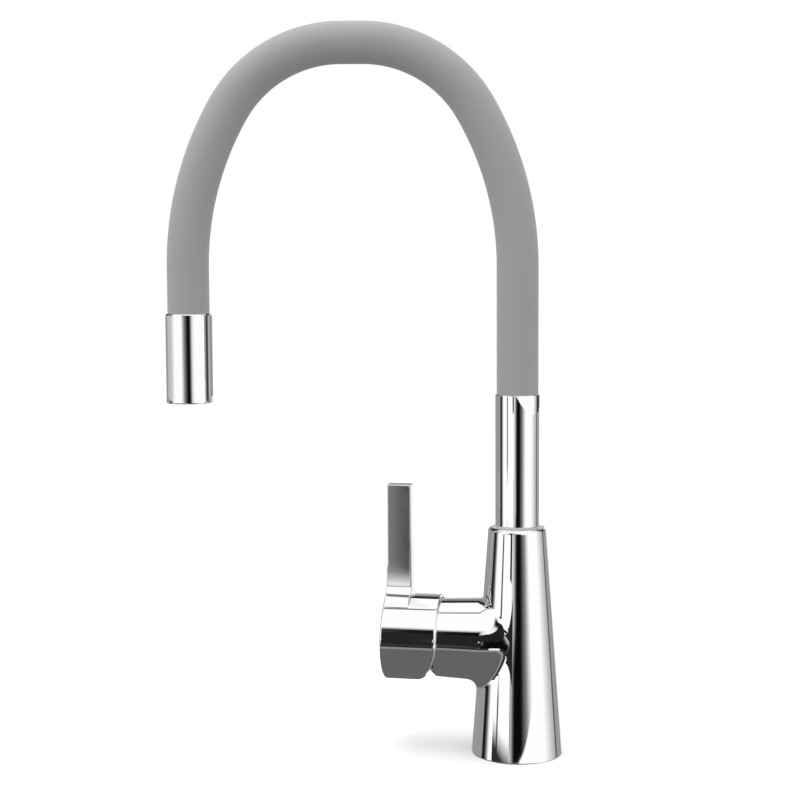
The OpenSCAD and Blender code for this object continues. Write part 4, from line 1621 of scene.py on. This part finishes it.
@dataclass(frozen=True)
class Flag:
    """Dark flag by the camera that shows only in the plating, fading to white at its sides.

    Args:
        distance: distance in front of the body axis.
        low: height of its lower edge.
        high: height of its upper edge.
        turn: height below which the left side of its dark middle leans out.
        turn_high: height over which it leans out.
        lean: how far it leans out.
        middle: place in the dark middle that the lean stops at.
        stops: places across the flag and the brightness there.
        count: points across and up.
    """

    distance: float = 0.85
    low: float = -0.14
    high: float = 0.141
    turn: float = 0.01
    turn_high: float = 0.05
    lean: float = 0.09
    middle: float = 0.15
    stops: tuple[Pair, ...] = (
        (-0.18, 0.9), (-0.12, 0.74), (-0.08, 0.58), (-0.044, 0.42), (-0.01, 0.24), (0.02, 0.1),
        (0.05, 0.03), (0.08, 0.004), (0.225, 0.003), (0.28, 0.012), (0.312, 0.03), (0.372, 0.09),
        (0.435, 0.15), (0.5, 0.21), (0.585, 0.35), (0.676, 0.56), (0.78, 0.8), (0.895, 1.0),
        (1.03, 1.14),
    )
    count: tuple[int, int] = (201, 25)

    def grid(self) -> tuple[Array, list[list[int]], Array]:
        """Its points, its faces and the brightness at each point."""
        across = np.linspace(self.stops[0][0], self.stops[-1][0], self.count[0])
        up = np.linspace(self.low, self.high, self.count[1])
        x, z = np.meshgrid(across, up, indexing="ij")
        lean = self.lean * np.clip((self.turn - z) / self.turn_high, 0, 1)
        leant = np.where(x < self.middle, np.minimum(x + lean, self.middle), x)
        shade = np.interp(leant, *zip(*self.stops))
        return upright(x, z, self.distance), grid_faces(*self.count), shade.reshape(-1)


@dataclass(frozen=True)
class Ring:
    """Curved screen round the outlet, which shows only in its housing.

    Args:
        radius: distance from the outlet.
        low: height of its lower edge.
        high: height of its upper edge.
        stops: azimuths round the outlet, in degrees, and the brightness there.
    """

    radius: float = 0.3
    low: float = 0.1835
    high: float = 0.246
    stops: tuple[Pair, ...] = (
        (-180, 0.32), (-118, 0.33), (-106, 0.55), (-80, 0.62), (-66, 0.86), (-58, 1.12),
        (-20, 1.12), (-14, 0.78), (-9, 0.45), (-4, 0.25), (1, 0.145), (6, 0.05), (11, 0.008),
        (18, 0.003), (21, 0.012), (26, 0.14), (31, 0.62), (36, 0.88), (46, 1.12), (98, 1.12),
        (104, 0.7), (111, 0.05), (118, 0.03), (124, 0.15), (131, 0.55), (139, 0.47), (149, 0.32),
        (180, 0.32),
    )

    def grid(self) -> tuple[Array, list[list[int]], Array]:
        """Its points, its faces and the brightness at each point."""
        centre = SpoutPath().place(SpoutPath().reach, 0.0)
        azimuth = np.arange(-180.0, 180.0, 1.0)
        shade = np.interp(azimuth, *zip(*self.stops))
        turn = np.radians(azimuth)
        x, y = centre.x + self.radius * np.sin(turn), centre.y - self.radius * np.cos(turn)
        points = np.array([(a, b, z) for a, b in zip(x, y) for z in (self.low, self.high)])
        return points, grid_faces(len(azimuth), 2, closed=True), np.repeat(shade, 2)


@dataclass(frozen=True)
class Lamp:
    """Soft square lamp that the plating doesn't show, with its power in watts."""

    name: str
    place: tuple[float, float, float]
    target: tuple[float, float, float]
    width: float
    power: float

    def hang(self) -> None:
        """Adds the lamp to the scene."""
        data = bpy.data.lights.new(self.name, "AREA")
        data.shape, data.size, data.energy = "SQUARE", self.width, self.power
        made = linked(self.name, data)
        made.location = self.place
        made.rotation_mode = "QUATERNION"
        aim = Vector(self.target) - Vector(self.place)
        made.rotation_quaternion = aim.to_track_quat("-Z", "Y")
        made.visible_glossy = False


@dataclass(frozen=True)
class Eye:
    """Camera at the photograph's place: pitched down, turned left and rolled clockwise.

    The angles are in degrees, the lens and the sensor in millimetres.
    """

    place: tuple[float, float, float] = (0.1030, -0.8363, 0.2670)
    pitch: float = 4.5
    turn: float = 11.5
    roll: float = 0.29
    lens: float = 67.707
    sensor: float = 36.0

    def build(self) -> None:
        """Makes it the scene's camera."""
        data = bpy.data.cameras.new("camera")
        data.lens, data.sensor_width = self.lens, self.sensor
        made = linked("camera", data)
        made.location = self.place
        turn = Euler((math.radians(90 - self.pitch), 0.0, math.radians(self.turn))).to_matrix()
        roll = Euler((0.0, 0.0, math.radians(-self.roll))).to_matrix()
        made.rotation_euler = (turn @ roll).to_euler()
        bpy.context.scene.camera = made


@dataclass
class Studio:
    """White room with a pale floor, the camera, and dark shapes that show only in the plating.

    Args:
        wall_r: distance to the walls.
        white: brightness of the bare wall.
        across_step: step of the wall's points in azimuth, in degrees.
        up_step: step of the wall's points in elevation, in degrees.
        panels: what hangs on the walls.
        screens: what stands in front of the faucet.
        flag: the flag by the camera.
        ring: the screen round the outlet.
        lamps: the lamps.
        eye: the camera.
        air_low: brightness of the air straight below.
        air_high: brightness of the air straight above.
        floor_half: half of the width of the floor, in millimetres.
        floor_grey: how pale the floor is.
        floor_glow: how much it shines of itself.
        floor_rough: lowest and highest roughness of the floor.
        floor_grain: scale of the grain of the floor, per metre.
    """

    wall_r: float = 3.0
    white: float = 1.14
    across_step: float = 0.5
    up_step: float = 1.25
    panels: tuple[Panel, ...] = (
        Panel(84, 108, -90, 60, 1.1, 0.62),
        Panel(108, 120, -90, 60, 0.62, 0.5),
        Panel(120, 127, -90, 60, 0.12, 0.12),
        Panel(127, 267, -90, 14, 0.36, 0.34),
        Panel(127, 257, 14, 47, 0.03, 0.03),
        Panel(158, 179, -90, 30, 1.0, 1.0),
        Panel(184, 199, 4, 20, 0.6, 0.55),
        Panel(-93, -83, -90, 47, 0.01, 0.015),
        Panel(-83, -76, -90, 47, 0.04, 0.35),
        Panel(-76, -70, -90, 47, 0.5, 1.1),
        Panel(-49.5, -45.5, -90, -6.7, 0.16, 0.16),
        Panel(-49.0, -44.0, -4.2, 2.0, 0.1, 0.1),
        Panel(-60, 12, -17.5, -9, 0.03, 0.03),
        Panel(-180, 70, -22.5, -17.5, 0.3, 0.3),
        Panel(-180, 70, -90, -22.5, 0.14, 0.14),
        Panel(0, 359.9, -90, -70, 0.14, 0.14),
    )
    screens: tuple[Screen, ...] = (
        Screen(0.150, -0.165, -0.017, 0.0395, 0.0625, 0.02, 0.02,
               flare_at=-0.06, flare_low=0.0125, flare_high=0.022),
        Screen(2.680, -0.655, -0.577, -0.465, -0.205, 0.25, 0.032, fade_low=0.045),
        Screen(2.700, -0.904, -0.484, -0.05, 0.36, 0.02, 0.02),
        Screen(0.850, -0.42, 0.34, 0.141, 0.66, 0.02, 0.015, fade_high=0.2),
    )
    flag: Flag = field(default_factory=Flag)
    ring: Ring = field(default_factory=Ring)
    lamps: tuple[Lamp, ...] = (
        Lamp("overhead", (-0.1, -0.15, 1.7), (-0.08, 0.0, 0.25), 1.1, 9.0),
        Lamp("left_fill", (-1.4, -0.7, 0.9), (-0.08, 0.0, 0.2), 0.9, 5.0),
    )
    eye: Eye = field(default_factory=Eye)
    air_low: float = 0.4
    air_high: float = 1.35
    floor_half: float = 3000.0
    floor_grey: float = 0.82
    floor_glow: float = 0.06
    floor_rough: Pair = (0.85, 0.95)
    floor_grain: float = 60.0

    @staticmethod
    def glow(name: str) -> Material:
        """Material that shines with the brightness kept on the mesh."""
        made = bpy.data.materials.new(name)
        made.use_nodes = True
        made.node_tree.nodes.clear()
        graph = Graph(made.node_tree)
        shade = graph.node("ShaderNodeAttribute", attribute_name="shade").outputs["Fac"]
        light = graph.node("ShaderNodeEmission", {"Color": shade}).outputs[0]
        graph.node("ShaderNodeOutputMaterial", {"Surface": light})
        return made

    def reflected(self, name: str, points: Array, faces: list[list[int]], shade: Array) -> None:
        """Makes a stage piece that only the plating sees.

        Args:
            name: name of the piece.
            points: its points.
            faces: rows of point numbers.
            shade: brightness at each point.
        """
        made = mesh_object(name, points / MM, faces, self.glow(name))
        kept = made.data.attributes.new("shade", "FLOAT", "POINT")
        kept.data.foreach_set("value", shade.astype(np.float32))
        made.visible_camera = made.visible_diffuse = made.visible_shadow = False
        made.visible_transmission = made.visible_volume_scatter = False

    def walls(self) -> tuple[Array, list[list[int]], Array]:
        """Round wall with its panels: its points, its faces and the brightness at each point."""
        azimuth = np.arange(0.0, 360.0, self.across_step)
        elevation = np.arange(-90.0, 90.5, self.up_step)
        across, up = np.meshgrid(azimuth, elevation, indexing="ij")
        shade = np.full_like(across, self.white)
        for panel in self.panels:
            panel.paint(across, up, shade)
        turn, rise = np.radians(across), np.radians(up)
        level = np.cos(rise)
        rows = np.stack([np.sin(turn) * level, -np.cos(turn) * level, np.sin(rise)], -1)
        faces = grid_faces(len(azimuth), len(elevation), closed=True)
        return self.wall_r * rows.reshape(-1, 3), faces, shade.reshape(-1)

    def floor(self) -> None:
        """Pale floor that keeps the soft shadow."""
        made, graph, shader = principled("pale_floor", (self.floor_grey,) * 3)
        noise = graph.node("ShaderNodeTexNoise", {"Scale": self.floor_grain}).outputs[0]
        graph.feed(shader, {
            "Roughness": graph.between(noise, *self.floor_rough), "Specular IOR Level": 0.0,
            "Emission Color": (1.0, 1.0, 1.0, 1.0), "Emission Strength": self.floor_glow})
        wide = self.floor_half
        corners = np.array([(-wide, -wide, 0), (wide, -wide, 0), (wide, wide, 0), (-wide, wide, 0)])
        plane = mesh_object("floor", corners, [[0, 1, 2, 3]], made)
        plane.visible_glossy = plane.visible_diffuse = False

    def world(self) -> None:
        """White to the camera and the plating, and a soft light that grows towards the top."""
        made = bpy.data.worlds.new("studio_air")
        made.use_nodes = True
        made.node_tree.nodes.clear()
        graph = Graph(made.node_tree)
        path = graph.node("ShaderNodeLightPath").outputs
        clear = graph.math("MAXIMUM", path["Is Glossy Ray"], path["Is Transmission Ray"])
        seen = graph.math("MAXIMUM", path["Is Camera Ray"], clear)
        way = graph.node("ShaderNodeTexCoord").outputs["Generated"]
        height = graph.node("ShaderNodeSeparateXYZ", {0: way}).outputs["Z"]
        air = graph.node("ShaderNodeMapRange", {
            "Value": height, "From Min": -1.0, "From Max": 1.0, "To Min": self.air_low,
            "To Max": self.air_high}).outputs["Result"]
        soft = graph.math("MULTIPLY", graph.math("SUBTRACT", 1.0, seen), air)
        back = graph.node("ShaderNodeBackground", {
            "Color": (1.0, 1.0, 1.0, 1.0), "Strength": graph.math("ADD", seen, soft)}).outputs[0]
        graph.node("ShaderNodeOutputWorld", {"Surface": back})
        bpy.context.scene.world = made

    def build(self) -> None:
        """Sets the scene and its view transform."""
        bpy.context.scene.view_settings.view_transform = "Standard"
        self.world()
        self.reflected("studio_wall", *self.walls())
        self.reflected("camera_flag", *self.flag.grid())
        self.reflected("outlet_screen", *self.ring.grid())
        for number, screen in enumerate(self.screens, 1):
            self.reflected(f"hub_screen_{number}", *screen.grid(self.white))
        self.floor()
        for lamp in self.lamps:
            lamp.hang()
        self.eye.build()


# The faucet


@dataclass
class Faucet:
    """The whole faucet, sub-assembly by sub-assembly."""

    body: BodyCasting = field(default_factory=BodyCasting)
    handle: Handle = field(default_factory=Handle)
    riser: RiserTube = field(default_factory=RiserTube)
    hose: Hose = field(default_factory=Hose)
    outlet: OutletHead = field(default_factory=OutletHead)

    def build(self, palette: Palette) -> None:
        """Makes each shaped piece around the frame."""
        for maker in (self.body, self.handle, self.riser, self.hose, self.outlet):
            made = maker.build(palette)
            for piece in made if isinstance(made, list) else [made]:
                LOG.info("built %s: %d faces", piece.name, len(piece.data.polygons))

    def dress(self, palette: Palette) -> None:
        """Finishes the frame's own nodes that stay in view."""
        parts = frame["record"]["subparts"]
        slots = {part["node"]: Slot(part["material_slot"]) for part in parts}
        for name, node in frame["nodes"].items():
            if node.hide_render:
                continue
            node.data.materials.clear()
            node.data.materials.append(palette[slots[name]])
            slots[name].value
            LOG.info("dressed %s", name)


def corners(box: tuple[Vector, Vector]) -> list[list[float]]:
    """Two corners as plain lists."""
    return [[float(value) for value in corner] for corner in box]


def main() -> None:
    """Builds the faucet and its studio in order."""
    logging.basicConfig(level=logging.INFO, format="%(name)s: %(message)s")
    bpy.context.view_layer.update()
    palette = Palette()
    faucet = Faucet()
    faucet.build(palette)
    faucet.dress(palette)
    Studio().build()


if __name__ == "__main__":
    main()
